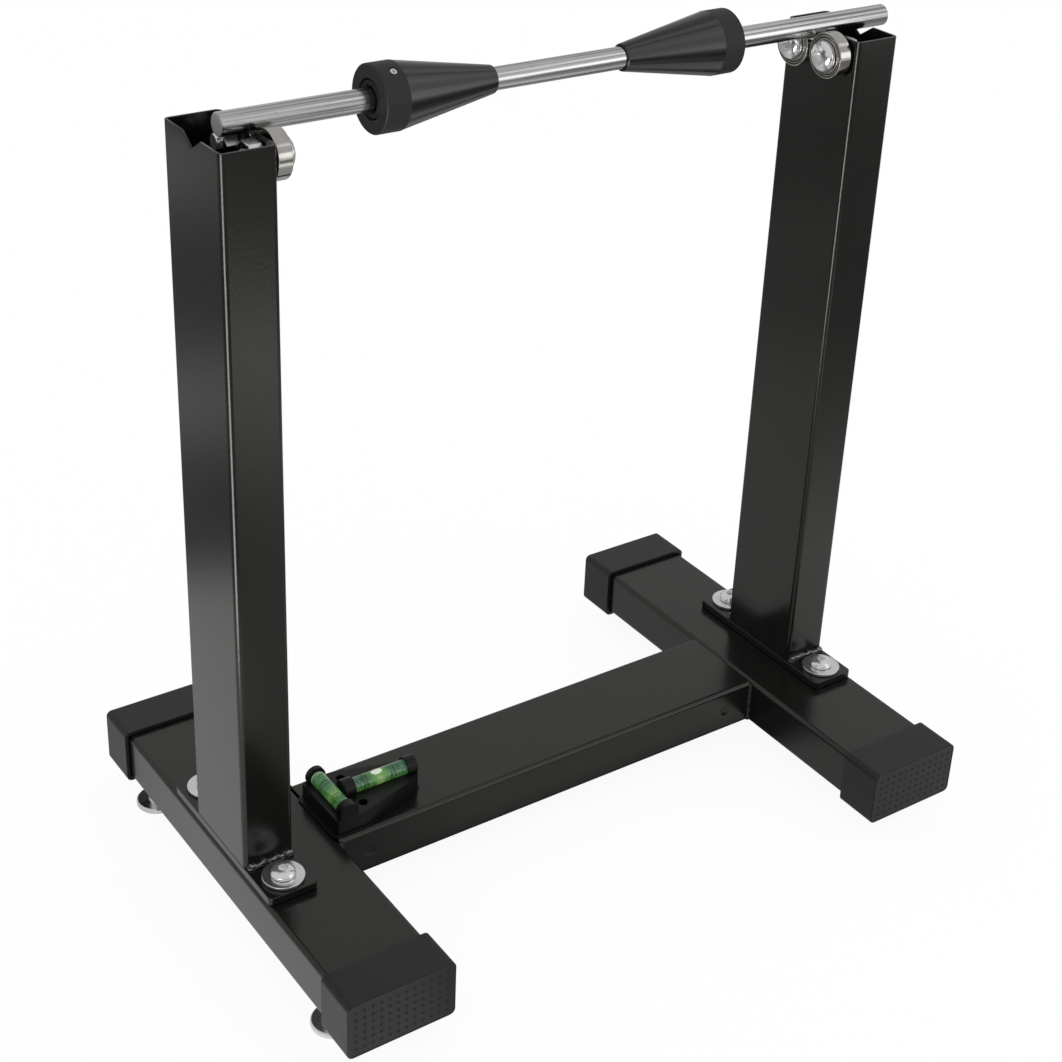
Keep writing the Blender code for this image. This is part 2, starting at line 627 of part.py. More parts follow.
def axle(coat, axis):
    half = AXLE_LENGTH / 2
    profile = [
        (0, half),
        (AXLE_RADIUS - AXLE_END_CHAMFER, half),
        (AXLE_RADIUS, half - AXLE_END_CHAMFER),
        (AXLE_RADIUS, AXLE_END_CHAMFER - half),
        (AXLE_RADIUS - AXLE_END_CHAMFER, -half),
        (0, -half),
    ]
    mesh = turned_mesh("axle", profile, AXLE_SIDES)
    return put("axle", mesh, coat, axis, (AXLE_SHIFT, 0, 0), (0, math.pi / 2, 0))


def cone_mesh(name, grub_direction):
    """A turned cone along +Z from its back face, bored for the axle, with a seat for a rubber ring behind."""
    bore = AXLE_RADIUS + SEAT_GAP
    seat = bore + 2 * RUBBER_RING_RADIUS + RUBBER_RING_ROOM
    seat_depth = 2 * RUBBER_RING_RADIUS + SEAT_GAP
    profile = [
        (CONE_RADIUS - CONE_EDGE, 0),
        (CONE_RADIUS, CONE_EDGE),
        (CONE_RADIUS, CONE_RIM_LENGTH),
        (bore + CONE_TIP_WALL, CONE_LENGTH),
        (bore, CONE_LENGTH),
        (bore, seat_depth),
        (seat, seat_depth),
        (seat, 0),
    ]
    blank = turned_mesh(name, profile, CONE_SIDES, ring=True)
    hole = rod_mesh("grub_hole", GRUB_RADIUS + SEAT_GAP, CONE_RADIUS + CUT_OVERRUN)
    turn = Vector((0, 0, 1)).rotation_difference(grub_direction).to_euler()
    return carved(name, blank, [cut(hole, (0, 0, GRUB_FROM_BACK), turn)])


def grub_screw_mesh(length):
    """A headless clamp screw, its tip at z = 0 and a hexagon socket in its upper end."""
    tip = GRUB_RADIUS * SCREW_TIP_SHARE
    profile = [(0, 0), (GRUB_RADIUS - tip, 0), (GRUB_RADIUS, tip), (GRUB_RADIUS, length), (0, length)]
    blank = turned_mesh("grub_screw", profile, HOLE_SIDES)
    socket = prism_mesh("socket", hexagon(GRUB_SOCKET_ACROSS), GRUB_SOCKET_DEPTH + CUT_OVERRUN)
    return carved("grub_screw", blank, [cut(socket, (0, 0, length - GRUB_SOCKET_DEPTH))])


def rubber_ring_mesh():
    middle = AXLE_RADIUS + SEAT_GAP + RUBBER_RING_RADIUS
    turns = [2 * math.pi * step / TORUS_SIDES for step in range(TORUS_SIDES)]
    outline = [
        (middle + RUBBER_RING_RADIUS * math.cos(turn), RUBBER_RING_RADIUS * (1 + math.sin(turn))) for turn in turns
    ]
    return turned_mesh("rubber_ring", outline, RING_SIDES, ring=True)


def cones(cone_coat, steel, rubber, axis):
    """Both cones, small ends towards each other, each with its clamp screw and the rubber ring at its back."""
    ring = rubber_ring_mesh()
    grub_start = AXLE_RADIUS + SEAT_GAP
    grub = grub_screw_mesh(CONE_RADIUS - GRUB_SINK - grub_start)
    for side_name, side, back, angle in (
        ("left", LEFT, LEFT_CONE_BACK, LEFT_GRUB_ANGLE),
        ("right", RIGHT, RIGHT_CONE_BACK, RIGHT_GRUB_ANGLE),
    ):
        turn = inward(side)
        outward = Vector((0, math.cos(angle), math.sin(angle)))
        in_cone = Matrix.Rotation(turn[1], 3, "Y").inverted() @ outward
        name = f"cone_{side_name}"
        put(name, cone_mesh(name, in_cone), cone_coat, axis, (side * back, 0, 0), turn)
        put(f"rubber_ring_{side_name}", ring, rubber, axis, (side * back, 0, 0), turn)
        start = outward * grub_start
        place = (side * (back - GRUB_FROM_BACK), start.y, start.z)
        put(f"grub_screw_{side_name}", grub, steel, axis, place, (angle - math.pi / 2, 0, 0))


def spirit_level(housing_coat, vial_coat, stand):
    """A housing with one vial across the stand's feet and one along the connecting tube."""
    wide, narrow = LEVEL_WIDTH / 2, LEVEL_END_WIDTH / 2
    half_outline = [
        (LEVEL_LENGTH, narrow - LEVEL_END_CHAMFER),
        (LEVEL_LENGTH - LEVEL_END_CHAMFER, narrow),
        (LEVEL_SHOULDER, wide),
        (LEVEL_CORNER, wide),
        (0, wide - LEVEL_CORNER),
    ]
    block = prism_mesh("level_housing", half_outline + [(x, -y) for x, y in reversed(half_outline)], LEVEL_HEIGHT)
    vial_z = LEVEL_HEIGHT + VIAL_ABOVE_TOP
    along_x, along_y = Euler((0, math.pi / 2, 0)), Euler((-math.pi / 2, 0, 0))
    cross_start = Vector((CROSS_VIAL_FROM_EDGE, LEVEL_CORNER - wide, vial_z))
    long_start = Vector((LONG_VIAL_FROM_EDGE, 0, vial_z))
    cross_length = LEVEL_WIDTH - 2 * LEVEL_CORNER
    long_length = LEVEL_LENGTH - LONG_VIAL_FROM_EDGE
    # Each vial has its name, direction, start, whole length and the lengths of its two sockets.
    vials = [
        ("level_vial_cross", along_y, cross_start, cross_length, CROSS_SOCKET_FRONT, CROSS_SOCKET_REAR),
        ("level_vial_long", along_x, long_start, long_length, LONG_SOCKET_LEFT, LONG_SOCKET_RIGHT),
    ]
    corner = empty("level_place", stand, (-FOOT_INNER_X + SEAT_GAP, -LEVEL_TOWARDS_FRONT, FOOT_TOP + SEAT_GAP))
    joins, cuts = [], []
    for name, turn, start, length, near_socket, far_socket in vials:
        along = turn.to_matrix() @ Vector((0, 0, 1))
        socket_radius = VIAL_RADIUS + SEAT_GAP + VIAL_WALL_COVER
        joins.append(join(rod_mesh("near_socket", socket_radius, near_socket, SMALL_SIDES), start, turn))
        far_start = start + along * (length - far_socket)
        joins.append(join(rod_mesh("far_socket", socket_radius, far_socket, SMALL_SIDES), far_start, turn))
        room = rod_mesh("vial_room", VIAL_RADIUS + SEAT_GAP, length - 2 * VIAL_END_WALL, SMALL_SIDES)
        cuts.append(cut(room, start + along * VIAL_END_WALL, turn))
        vial = rod_mesh(name, VIAL_RADIUS, length - 2 * VIAL_END_WALL - 2 * SEAT_GAP, SMALL_SIDES)
        put(name, vial, vial_coat, corner, start + along * (VIAL_END_WALL + SEAT_GAP), turn)
    hole = rod_mesh("screw_hole", LEVEL_HOLE_RADIUS, LEVEL_HEIGHT + 2 * CUT_OVERRUN)
    for end in ENDS.values():
        cuts.append(cut(hole, (LEVEL_HOLE_FROM_EDGE, end * LEVEL_HOLE_SPREAD, -CUT_OVERRUN)))
    put("level_housing", carved("level_housing", block, joins + cuts), housing_coat, corner, (0, 0, 0))


def build():
    clear_scene()
    black_paint = finish("black_paint", (0.012, 0.012, 0.013), 0.32, 0.0)
    black_plastic = finish("black_plastic", (0.016, 0.016, 0.017), 0.55, 0.0)
    anodised = finish("black_anodised", (0.014, 0.014, 0.015), 0.30, 0.6)
    rubber = finish("rubber", (0.010, 0.010, 0.010), 0.70, 0.0)
    axle_steel = finish("axle_steel", (0.55, 0.56, 0.58), 0.28, 1.0)
    ring_steel = finish("bearing_steel", (0.58, 0.56, 0.53), 0.24, 1.0)
    screw_steel = finish("screw_steel", (0.70, 0.70, 0.72), 0.20, 1.0)
    zinc = finish("zinc_plate", (0.66, 0.68, 0.70), 0.30, 1.0)
    vial_green = finish("vial", (0.10, 0.42, 0.08), 0.08, 0.0, 0.7)

    stand = empty("stand", None, (STAND_SHIFT, 0, 0))
    for side_name, side in SIDES.items():
        foot_tube(f"foot_tube_{side_name}", side, black_paint, stand)
        base_plate(f"base_plate_{side_name}", side, black_paint, stand)
        upright(f"upright_{side_name}", side, black_paint, stand)
    connecting_tube(black_paint, stand)
    end_caps(black_plastic, stand)
    plate_screws(screw_steel, zinc, stand)
    levelling_feet(zinc, stand)
    bearings(ring_steel, screw_steel, screw_steel, zinc, stand)
    axle_axis = empty("axle_axis", stand, (0, 0, AXLE_Z))
    axle(axle_steel, axle_axis)
    cones(anodised, screw_steel, rubber, axle_axis)
    spirit_level(black_plastic, vial_green, stand)


build()
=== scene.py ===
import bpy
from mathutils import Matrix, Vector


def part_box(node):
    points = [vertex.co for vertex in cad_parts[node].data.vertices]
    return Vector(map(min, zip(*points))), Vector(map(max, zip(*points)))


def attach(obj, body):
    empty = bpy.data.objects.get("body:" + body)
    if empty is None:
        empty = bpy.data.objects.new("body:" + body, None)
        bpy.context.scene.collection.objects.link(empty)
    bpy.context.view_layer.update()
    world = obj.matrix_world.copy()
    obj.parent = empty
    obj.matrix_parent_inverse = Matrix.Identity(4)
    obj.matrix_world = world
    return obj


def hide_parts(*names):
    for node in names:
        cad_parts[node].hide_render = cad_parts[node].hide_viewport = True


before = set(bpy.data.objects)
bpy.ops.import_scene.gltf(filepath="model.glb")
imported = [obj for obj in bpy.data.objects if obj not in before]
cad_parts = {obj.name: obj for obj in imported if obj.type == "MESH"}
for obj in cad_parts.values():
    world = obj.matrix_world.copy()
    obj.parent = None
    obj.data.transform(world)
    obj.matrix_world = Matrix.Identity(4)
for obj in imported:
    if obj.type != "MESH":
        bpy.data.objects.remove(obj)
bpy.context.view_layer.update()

# %% [markdown]
# # A motorcycle wheel balancer
# Two black uprights stand on a welded H of rectangular tube. Each carries a pair of ball bearings, and a
# bright axle with two black cones rolls on the four of them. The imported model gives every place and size.
# This lesson makes the surfaces that the eye meets: rounded tube corners, lumpy welds, domed screws, clear
# vials, and a finish for each.

# %% Tools for the lesson
import math

import bmesh
import bpy
from mathutils import Vector

MM = 0.001
SIDES = {"left": -1, "right": 1}
ENDS = {"front": -1, "rear": 1}
POSTS = [(side, end) for side in SIDES for end in ENDS]

# %% [markdown]
# ## The camera
# The photograph looks down on the stand from its front left. The place, the turn and the lens were worked out
# from the straight edges of the tubes, whose directions are known. The small shift stands for the
# photograph's crop.

# %% Camera
bpy.ops.object.camera_add(location=(-0.58545, -0.80128, 0.76495), rotation=(1.09197, -0.03854, -0.59917))
camera = bpy.context.object
camera.data.sensor_width = 36
camera.data.lens = 66.64
camera.data.shift_x = -0.0010
camera.data.shift_y = -0.0919
bpy.context.scene.camera = camera
print("camera", tuple(round(v, 3) for v in camera.location))


# %% [markdown]
# ## Selecting and editing
# Operators act on what is selected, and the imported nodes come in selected. So each step first drops the
# selection and then picks its piece. In edit mode, faces and edges are picked by a test on their middle or
# their normal.

# %% Helpers that select
def deselect():
    bpy.ops.object.select_all(action="DESELECT")


def only(piece):
    deselect()
    piece.select_set(True)
    bpy.context.view_layer.objects.active = piece


def edit(piece):
    only(piece)
    bpy.ops.object.mode_set(mode="EDIT")
    bpy.ops.mesh.select_all(action="SELECT")


def done():
    bpy.ops.object.mode_set(mode="OBJECT")


def pick(piece, kind, test):
    """Selects the edges or faces of the piece in edit mode that pass the test."""
    bpy.ops.mesh.select_mode(type=kind)
    bpy.ops.mesh.select_all(action="DESELECT")
    shape = bmesh.from_edit_mesh(piece.data)
    for item in shape.edges if kind == "EDGE" else shape.faces:
        if test(item):
            item.select_set(True)
    bmesh.update_edit_mesh(piece.data)


def along(edge, axis):
    """How much of an edge runs along an axis, from 0 to 1."""
    step = edge.verts[0].co - edge.verts[1].co
    return abs(step[axis]) / step.length


# %% [markdown]
# ## Modifiers, edges and normals
# A modifier is set and applied at once, so that each piece ends as one plain mesh. No real edge is razor
# sharp: a small bevel catches a thin line of light. Weighted normals then keep the wide faces flat beside
# their rounded corners.

# %% Helpers that finish a mesh
def modify(piece, kind, **settings):
    only(piece)
    step = piece.modifiers.new(kind, kind)
    for key, value in settings.items():
        setattr(step, key, value)
    bpy.ops.object.modifier_apply(modifier=step.name)


def soften(piece, width, segments=2, angle=30):
    """Rounds the edges that turn by more than the angle."""
    turn = math.radians(angle)
    modify(piece, "BEVEL", width=width, segments=segments, limit_method="ANGLE", angle_limit=turn)


def smooth(piece, angle=35):
    only(piece)
    bpy.ops.object.shade_smooth_by_angle(angle=math.radians(angle))
    modify(piece, "WEIGHTED_NORMAL", keep_sharp=True)


def all_smooth(piece):
    only(piece)
    bpy.ops.object.shade_smooth()


def outwards(piece):
    """Merges doubles and turns every face outwards."""
    edit(piece)
    bpy.ops.mesh.remove_doubles(threshold=0.002 * MM)
    bpy.ops.mesh.normals_make_consistent(inside=False)
    done()


def cut_away(piece, tool, operation="DIFFERENCE"):
    modify(piece, "BOOLEAN", object=tool, operation=operation, solver="EXACT")
    bpy.data.objects.remove(tool)


# %% [markdown]
# ## Blocks and turned pieces
# Most pieces here are sawn tube or turned bar. A block starts from a cube. A turned piece starts from one
# circle, which is extruded and scaled for each further station of its outline, as a lathe would work along a
# bar. A ring is closed by bridging its first and last circles. A spin of a drawn outline would do too, but it
# leaves doubles on the axis.

# %% Helpers that start a mesh
STANDING = (0, 0, 0)
FACING_FRONT = (math.pi / 2, 0, 0)
FACING_RIGHT = (0, math.pi / 2, 0)


def settle(piece):
    """Puts the object at the origin, unturned and unscaled, with its place in its mesh."""
    only(piece)
    bpy.ops.object.transform_apply(location=True, rotation=True, scale=True)
    return piece


def named(name):
    made = bpy.context.object
    made.name = made.data.name = name
    return made


def block(name, low, high):
    deselect()
    bpy.ops.mesh.primitive_cube_add(size=1, location=(low + high) / 2, scale=high - low)
    return settle(named(name))


def turned(name, stations, sides=64, hollow=False):
    """Stations are (radius, height) in millimetres, from the bottom circle on, about +Z."""
    deselect()
    radius, height = stations[0]
    fill = "NOTHING" if hollow else "NGON"
    place = (0, 0, height * MM)
    bpy.ops.mesh.primitive_circle_add(vertices=sides, radius=radius * MM, fill_type=fill, location=place)
    piece = settle(named(name))
    edit(piece)
    bpy.ops.mesh.select_mode(type="VERT")
    bpy.ops.mesh.select_all(action="SELECT")
    for new_radius, new_height in stations[1:]:
        rise = {"value": (0, 0, (new_height - height) * MM)}
        bpy.ops.mesh.extrude_region_move(TRANSFORM_OT_translate=rise)
        share = new_radius / radius
        bpy.ops.transform.resize(value=(share, share, 1), center_override=(0, 0, new_height * MM))
        radius, height = new_radius, new_height
    if hollow:
        bpy.ops.mesh.select_mode(type="EDGE")
        bpy.ops.mesh.select_all(action="DESELECT")
        bpy.ops.mesh.select_non_manifold()
        bpy.ops.mesh.bridge_edge_loops()
    done()
    outwards(piece)
    return piece


def placed(piece, place, turn=STANDING):
    piece.location = place
    piece.rotation_euler = turn
    return settle(piece)


def inward(side):
    """The turn that points +Z from an upright to the middle of the stand."""
    return (0, -SIDES[side] * math.pi / 2, 0)


# %% [markdown]
# ## Tools that cut
# A drill, a punch or a press is a plain bar or ball. It cuts or joins by a boolean and is then gone.

# %% Helpers that make a tool
def cylinder(name, sides, radius, length, place, turn=STANDING):
    """A round or six-sided bar along +Z, with its middle at the place."""
    deselect()
    bpy.ops.mesh.primitive_cylinder_add(vertices=sides, radius=radius, depth=length)
    return placed(named(name), place, turn)


def sphere(name, segments, rings, radius, place, turn=STANDING, squash=(1, 1, 1)):
    deselect()
    bpy.ops.mesh.primitive_uv_sphere_add(segments=segments, ring_count=rings, radius=radius, scale=squash)
    return placed(named(name), place, turn)


# %% [markdown]
# ## Joining the imported model
# Each finished piece rides on a body, stands for the node that it dresses, and takes its finish. What
# repeats is made once as a pattern, and each copy of it gets a mesh of its own.

# %% Helpers that hand a piece over
made_pieces = []


def stands_for(piece, finish, body, slot, *nodes):
    piece.data.materials.clear()
    piece.data.materials.append(finish)
    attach(piece, body)
    if nodes:
        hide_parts(*nodes)
    made_pieces.append(piece)


def dressed(pattern, name, place, turn, finish, body, slot, *nodes):
    """Hands over a copy of a pattern."""
    made = pattern.copy()
    made.data = pattern.data.copy()
    made.name = made.data.name = name
    bpy.context.scene.collection.objects.link(made)
    stands_for(placed(made, place, turn), finish, body, slot, *nodes)


def put_away(*patterns):
    for pattern in patterns:
        bpy.data.objects.remove(pattern)


def middle(node):
    low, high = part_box(node)
    return (low + high) / 2


# %% [markdown]
# ## Sums with node sockets
# A finish is a small network of nodes. Written as Python sums, it reads like a recipe: `0.3 + grain * 0.1`.
# One class wraps a socket and adds a Math node for each sign. Another wraps the material, and adds every
# other node.

# %% Finish maker
class Value:
    """A node's output that takes part in Python sums."""

    def __init__(self, finish, socket):
        self.finish, self.socket = finish, socket

    def math(self, operation, first, second):
        return self.finish.node("ShaderNodeMath", {"operation": operation}, {0: first, 1: second})

    def __add__(self, other):
        return self.math("ADD", self, other)

    def __mul__(self, other):
        return self.math("MULTIPLY", self, other)

    def __sub__(self, other):
        return self.math("SUBTRACT", self, other)

    def __rsub__(self, other):
        return self.math("SUBTRACT", other, self)

    def __pow__(self, other):
        return self.math("POWER", self, other)

    __radd__ = __add__
    __rmul__ = __mul__


class Finish:
    """A material whose shader takes constants by name and links by wear()."""

    def __init__(self, name, **constants):
        self.material = bpy.data.materials.new(name)
        self.material.use_nodes = True
        self.tree = self.material.node_tree
        self.shader = self.tree.nodes["Principled BSDF"]
        for key, value in constants.items():
            self.shader.inputs[key.replace("_", " ")].default_value = value
        self.place = self.node("ShaderNodeTexCoord", output="Object")

    def node(self, kind, settings=None, inputs=None, output=0):
        made = self.tree.nodes.new(kind)
        for key, value in (settings or {}).items():
            setattr(made, key, value)
        for key, value in (inputs or {}).items():
            if isinstance(value, Value):
                self.tree.links.new(value.socket, made.inputs[key])
            else:
                made.inputs[key].default_value = value
        return Value(self, made.outputs[output])

    def axes(self, place=None):
        split = self.node("ShaderNodeSeparateXYZ", None, {0: place or self.place}).socket.node
        return [Value(self, socket) for socket in split.outputs]

    def moved(self, centre):
        return self.node("ShaderNodeVectorMath", {"operation": "SUBTRACT"}, {0: self.place, 1: centre})

    def noise(self, per_metre, detail=2, stretch=(1, 1, 1), place=None):
        """Noise from about 0.3 to 0.7, with so many waves in a metre."""
        ends = {0: place or self.place, 1: stretch}
        pulled = self.node("ShaderNodeVectorMath", {"operation": "MULTIPLY"}, ends)
        return self.node("ShaderNodeTexNoise", None, {"Vector": pulled, "Scale": per_metre, "Detail": detail})

    def size(self, value):
        """The value without its sign."""
        return self.node("ShaderNodeMath", {"operation": "ABSOLUTE"}, {0: value})

    def step(self, value, low, high):
        """0 below the low edge, 1 above the high one, and smooth between them."""
        edges = {"Value": value, "From Min": low, "From Max": high}
        return self.node("ShaderNodeMapRange", {"interpolation_type": "SMOOTHSTEP"}, edges)

    def blend(self, share, first, second):
        """A colour between two, which are colours or links."""
        ends = {0: share, 6: first, 7: second}
        for key in (6, 7):
            if isinstance(ends[key], tuple):
                ends[key] = (*ends[key], 1)
        return self.node("ShaderNodeMix", {"data_type": "RGBA"}, ends, 2)

    def wear(self, colour=None, roughness=None, height=None, depth=0.0, metallic=None, glow=None):
        """Links what varies over the surface. The depth is that of the relief, in metres."""
        normal = None
        if height is not None:
            normal = self.node("ShaderNodeBump", None, {"Height": height, "Strength": 1.0, "Distance": depth})
        links = {
            "Base Color": colour, "Roughness": roughness, "Normal": normal, "Metallic": metallic,
            "Emission Color": glow,
        }
        for key, value in links.items():
            if value is not None:
                self.tree.links.new(value.socket, self.shader.inputs[key])
        return self.material


# %% [markdown]
# ## Black powder coat
# Powder is sprayed on dry and melts in an oven, so the film is thick and satin, with a faint orange peel.
# Fine noise gives the peel, wider noise lets the gloss drift a little from place to place. Paint is no metal:
# its light comes from the clear top of the film, so the colour stays near black and the roughness does the
# work.

# %% Powder coat
def powder_coat():
    coat = Finish("powder_coat", Specular_IOR_Level=0.53, Specular_Tint=(1.0, 1.0, 0.94, 1.0))
    cloud = coat.noise(14, 3)
    peel = coat.noise(420, 2)
    grain = coat.noise(2300, 1)
    colour = coat.blend(cloud, (0.0045, 0.0045, 0.0043), (0.0105, 0.0105, 0.0097))
    roughness = 0.13 + cloud * 0.10 + grain * 0.06
    return coat.wear(colour, roughness, peel * 0.75 + grain * 0.25, 0.00005)


paint = powder_coat()
print("made", paint.name)

# %% [markdown]
# ## Coat over the welds
# The same powder lies on the weld beads, but it is glossier there. Its glints are painted highlights: two
# thin wavy lines along the bead's borders and a scatter of spots take a bright metal colour. Noise along the
# bead bends a line that is drawn at one height.

# %% Coat on welds
PLATE_THICKNESS = 5 * MM
LINE_HALF, LINE_FADE = 0.12 * MM, 0.38 * MM


def weld_coat():
    coat = Finish("weld_coat", Specular_IOR_Level=0.6)
    plate_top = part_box("base_plate_left")[0].z + PLATE_THICKNESS
    spatter = coat.noise(900, 3)
    bends = coat.noise(170, 2, (1, 0, 0)) - 0.5
    level = coat.axes()[2] - plate_top
    # Painted highlights: bright metal-coloured spots and two wavy lines stand for the glints on the bead.
    painted_glints = coat.step(coat.noise(620, 2), 0.66, 0.72)
    for height, bend in ((2.7 * MM, 4.0 * MM), (0.9 * MM, -3.2 * MM)):
        away = coat.size(level - bends * bend - height)
        painted_glints = painted_glints + (1 - coat.step(away, LINE_HALF, LINE_FADE)) * coat.step(spatter, 0.38, 0.48)
    painted_glints = coat.node("ShaderNodeMath", {"operation": "MINIMUM"}, {0: painted_glints, 1: 1.0})
    # The painted highlights take a bright metal colour and are partly metallic.
    colour = coat.blend(painted_glints, (0.008, 0.008, 0.008), (0.40, 0.40, 0.39))
    return coat.wear(colour, 0.14 + spatter * 0.16, spatter, 0.00020, painted_glints * 0.7)


welded = weld_coat()
print("made", welded.name)

# %% [markdown]
# ## Moulded plastic
# The end caps and the level's housing are soft black mouldings with a matt grain, which the eroded steel of
# the mould leaves on them. Fine noise in the relief gives the grain, and wider noise lets the black drift a
# little.

# %% Moulded plastics
def moulded(name, tone, roughness, relief, gloss):
    plastic = Finish(name, Specular_IOR_Level=gloss)
    cloud = plastic.noise(30, 2)
    grain = plastic.noise(2600, 2)
    colour = plastic.blend(cloud, tuple(0.85 * t for t in tone), tuple(1.2 * t for t in tone))
    return plastic.wear(colour, roughness + cloud * 0.12, grain, relief)


cap_black = moulded("cap_plastic", (0.015, 0.015, 0.0148), 0.34, 0.00003, 0.36)
housing_black = moulded("housing_plastic", (0.0055, 0.0055, 0.0053), 0.30, 0.00003, 0.27)
print("made", cap_black.name, housing_black.name)

# %% [markdown]
# ## Black anodised aluminium
# The cones are turned and then dyed black. The lathe's fine rings stay under the dye; noise that changes
# along the slope alone gives them. The long soft streaks along the slopes are painted highlights: noise that
# changes round the axis alone paints them lighter. The plain band at the wide end has neither: it is matt.

# %% Anodised aluminium
BAND_EDGE, BAND_END = 13.5 * MM, 13.9 * MM
axle_line = middle("axle")


def anodised():
    dye = Finish("anodised_aluminium", Specular_IOR_Level=0.55, Metallic=0.25)
    centred = dye.moved((0, 0, axle_line.z))
    x, y, z = dye.axes(centred)
    radius = (y * y + z * z) ** 0.5
    rings = dye.node("ShaderNodeCombineXYZ", None, {0: x + radius * 0.8})
    turning = dye.noise(3800, 2, place=rings)
    bands = dye.noise(260, 2, place=rings)
    cloud = dye.noise(45, 3)
    left_back, right_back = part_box("cone_left")[0].x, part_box("cone_right")[1].x
    slope = dye.step(x, left_back + BAND_EDGE, left_back + BAND_END)
    slope = slope - dye.step(x, right_back - BAND_END, right_back - BAND_EDGE)
    # Painted highlights: noise round the axis paints long soft light streaks along the slopes.
    about = dye.node("ShaderNodeCombineXYZ", None, {1: y * radius ** -1, 2: z * radius ** -1})
    sheen = dye.step(dye.noise(2.6, 1, place=about), 0.44, 0.60)
    colour = dye.blend(bands, (0.008, 0.008, 0.008), (0.016, 0.016, 0.0155))
    # The streaks' painted highlight colour.
    colour = dye.blend(sheen, colour, (0.060, 0.060, 0.058))
    colour = dye.blend(slope, (0.026, 0.026, 0.0250), colour)
    return dye.wear(colour, 0.50 - slope * 0.38 + turning * 0.08 + cloud * 0.08, turning, 0.00002)


def black_rubber():
    rubber = Finish("black_rubber", Specular_IOR_Level=0.35)
    bloom = rubber.noise(300, 3)
    colour = rubber.blend(bloom, (0.004, 0.004, 0.004), (0.010, 0.010, 0.0095))
    return rubber.wear(colour, 0.55 + bloom * 0.2, rubber.noise(1900, 2), 0.00005)


cone_black = anodised()
rubber_black = black_rubber()
print("made", cone_black.name, rubber_black.name)

# %% [markdown]
# ## Bright steels
# The axle is drawn bar: its die leaves fine lines along it, and its sawn ends are dull. The bearing rings are
# ground round their axis. The screws are polished under a clear film, so part of their light is not the
# metal's own. Zinc plate is softer, a little blue, with a grain like frost. The fine lines live in the
# roughness and in the relief.

# %% Steels
def drawn_steel():
    steel = Finish("drawn_steel", Metallic=1.0)
    lines = steel.noise(1500, 3, (0.012, 1, 1))
    stains = steel.noise(38, 4, (0.5, 1, 1))
    specks = steel.step(steel.noise(700, 2, (0.4, 1, 1)), 0.66, 0.74)
    streaks = steel.noise(760, 2, (0.006, 1, 1))
    colour = steel.blend(stains, (0.47, 0.47, 0.475), (0.66, 0.66, 0.665))
    colour = steel.blend(steel.step(streaks, 0.54, 0.59) * 0.70, colour, (0.20, 0.20, 0.205))
    colour = steel.blend(steel.step(streaks * -1, -0.44, -0.36) * 0.5, colour, (0.86, 0.86, 0.86))
    colour = steel.blend(specks * 0.35, colour, (0.26, 0.25, 0.24))
    low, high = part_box("axle")
    half = (high.x - low.x) / 2
    from_middle = steel.size(steel.axes()[0] - (low.x + high.x) / 2)
    cut_end = steel.step(from_middle, half - 0.5 * MM, half - 0.4 * MM)
    sawn = steel.blend(steel.noise(1100, 3), (0.34, 0.345, 0.35), (0.62, 0.63, 0.64))
    colour = steel.blend(cut_end, colour, sawn)
    roughness = 0.12 + lines * 0.14 + stains * 0.06
    return steel.wear(colour, roughness + cut_end * 0.25, lines, 0.00003, 1 - cut_end * 0.75)


def ground_steel(name, dark, light, roughness):
    """Rings lie round an axis along X, so the grinding lines change along X alone."""
    steel = Finish(name, Metallic=1.0)
    lines = steel.noise(2600, 3, (1, 0.03, 0.03))
    stains = steel.noise(110, 3)
    colour = steel.blend(stains, dark, light)
    return steel.wear(colour, roughness + lines * 0.08 + stains * 0.05, lines, 0.000008)


def polished_steel():
    steel = Finish("polished_steel", Metallic=0.80)
    stains = steel.noise(240, 3)
    pitted = steel.noise(620, 3)
    colour = steel.blend(stains, (0.82, 0.83, 0.82), (0.99, 0.99, 0.98))
    return steel.wear(colour, 0.06 + stains * 0.12, pitted, 0.00020)


def zinc_plate():
    zinc = Finish("zinc_plate", Metallic=1.0)
    frost = zinc.noise(700, 4)
    stains = zinc.noise(130, 3)
    colour = zinc.blend(stains, (0.66, 0.675, 0.685), (0.92, 0.935, 0.945))
    return zinc.wear(colour, 0.14 + frost * 0.18, frost, 0.00003)


bar_steel = drawn_steel()
ring_steel = ground_steel("ground_steel", (0.41, 0.395, 0.37), (0.62, 0.60, 0.565), 0.07)
shield_steel = ground_steel("shield_steel", (0.42, 0.41, 0.39), (0.60, 0.59, 0.56), 0.16)
screw_steel = polished_steel()
zinc = zinc_plate()
print("made", [each.name for each in (bar_steel, ring_steel, shield_steel, screw_steel, zinc)])

# %% [markdown]
# ## Rectangular tube
# All the frame is one welded tube, 60 by 30 mm. A block gets its four long edges rounded, loses its two ends,
# and the Solidify modifier gives the sheet that is left its wall. An inner block cut out by a boolean would
# do too, but the wall would have to be measured twice.

# %% Tube maker
TUBE_WALL, TUBE_CORNER = 1.5 * MM, 3 * MM


def long_edges_round(piece, axis, corner, segments=6):
    edit(piece)
    pick(piece, "EDGE", lambda edge: along(edge, axis) > 0.99)
    bpy.ops.mesh.bevel(offset=corner, segments=segments, profile=0.5)
    done()


def tube(name, node, axis):
    """The sheet of a tube, open at both ends and still without its wall."""
    piece = block(name, *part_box(node))
    long_edges_round(piece, axis, TUBE_CORNER)
    edit(piece)
    pick(piece, "FACE", lambda face: abs(face.normal[axis]) > 0.99)
    bpy.ops.mesh.delete(type="ONLY_FACE")
    done()
    return piece


def walled(piece):
    modify(piece, "SOLIDIFY", thickness=TUBE_WALL, offset=-1, use_even_offset=True)


def deburred(piece):
    """Takes the sharpness off the edges that a saw leaves."""
    soften(piece, 0.25 * MM, 2, 50)
    smooth(piece)


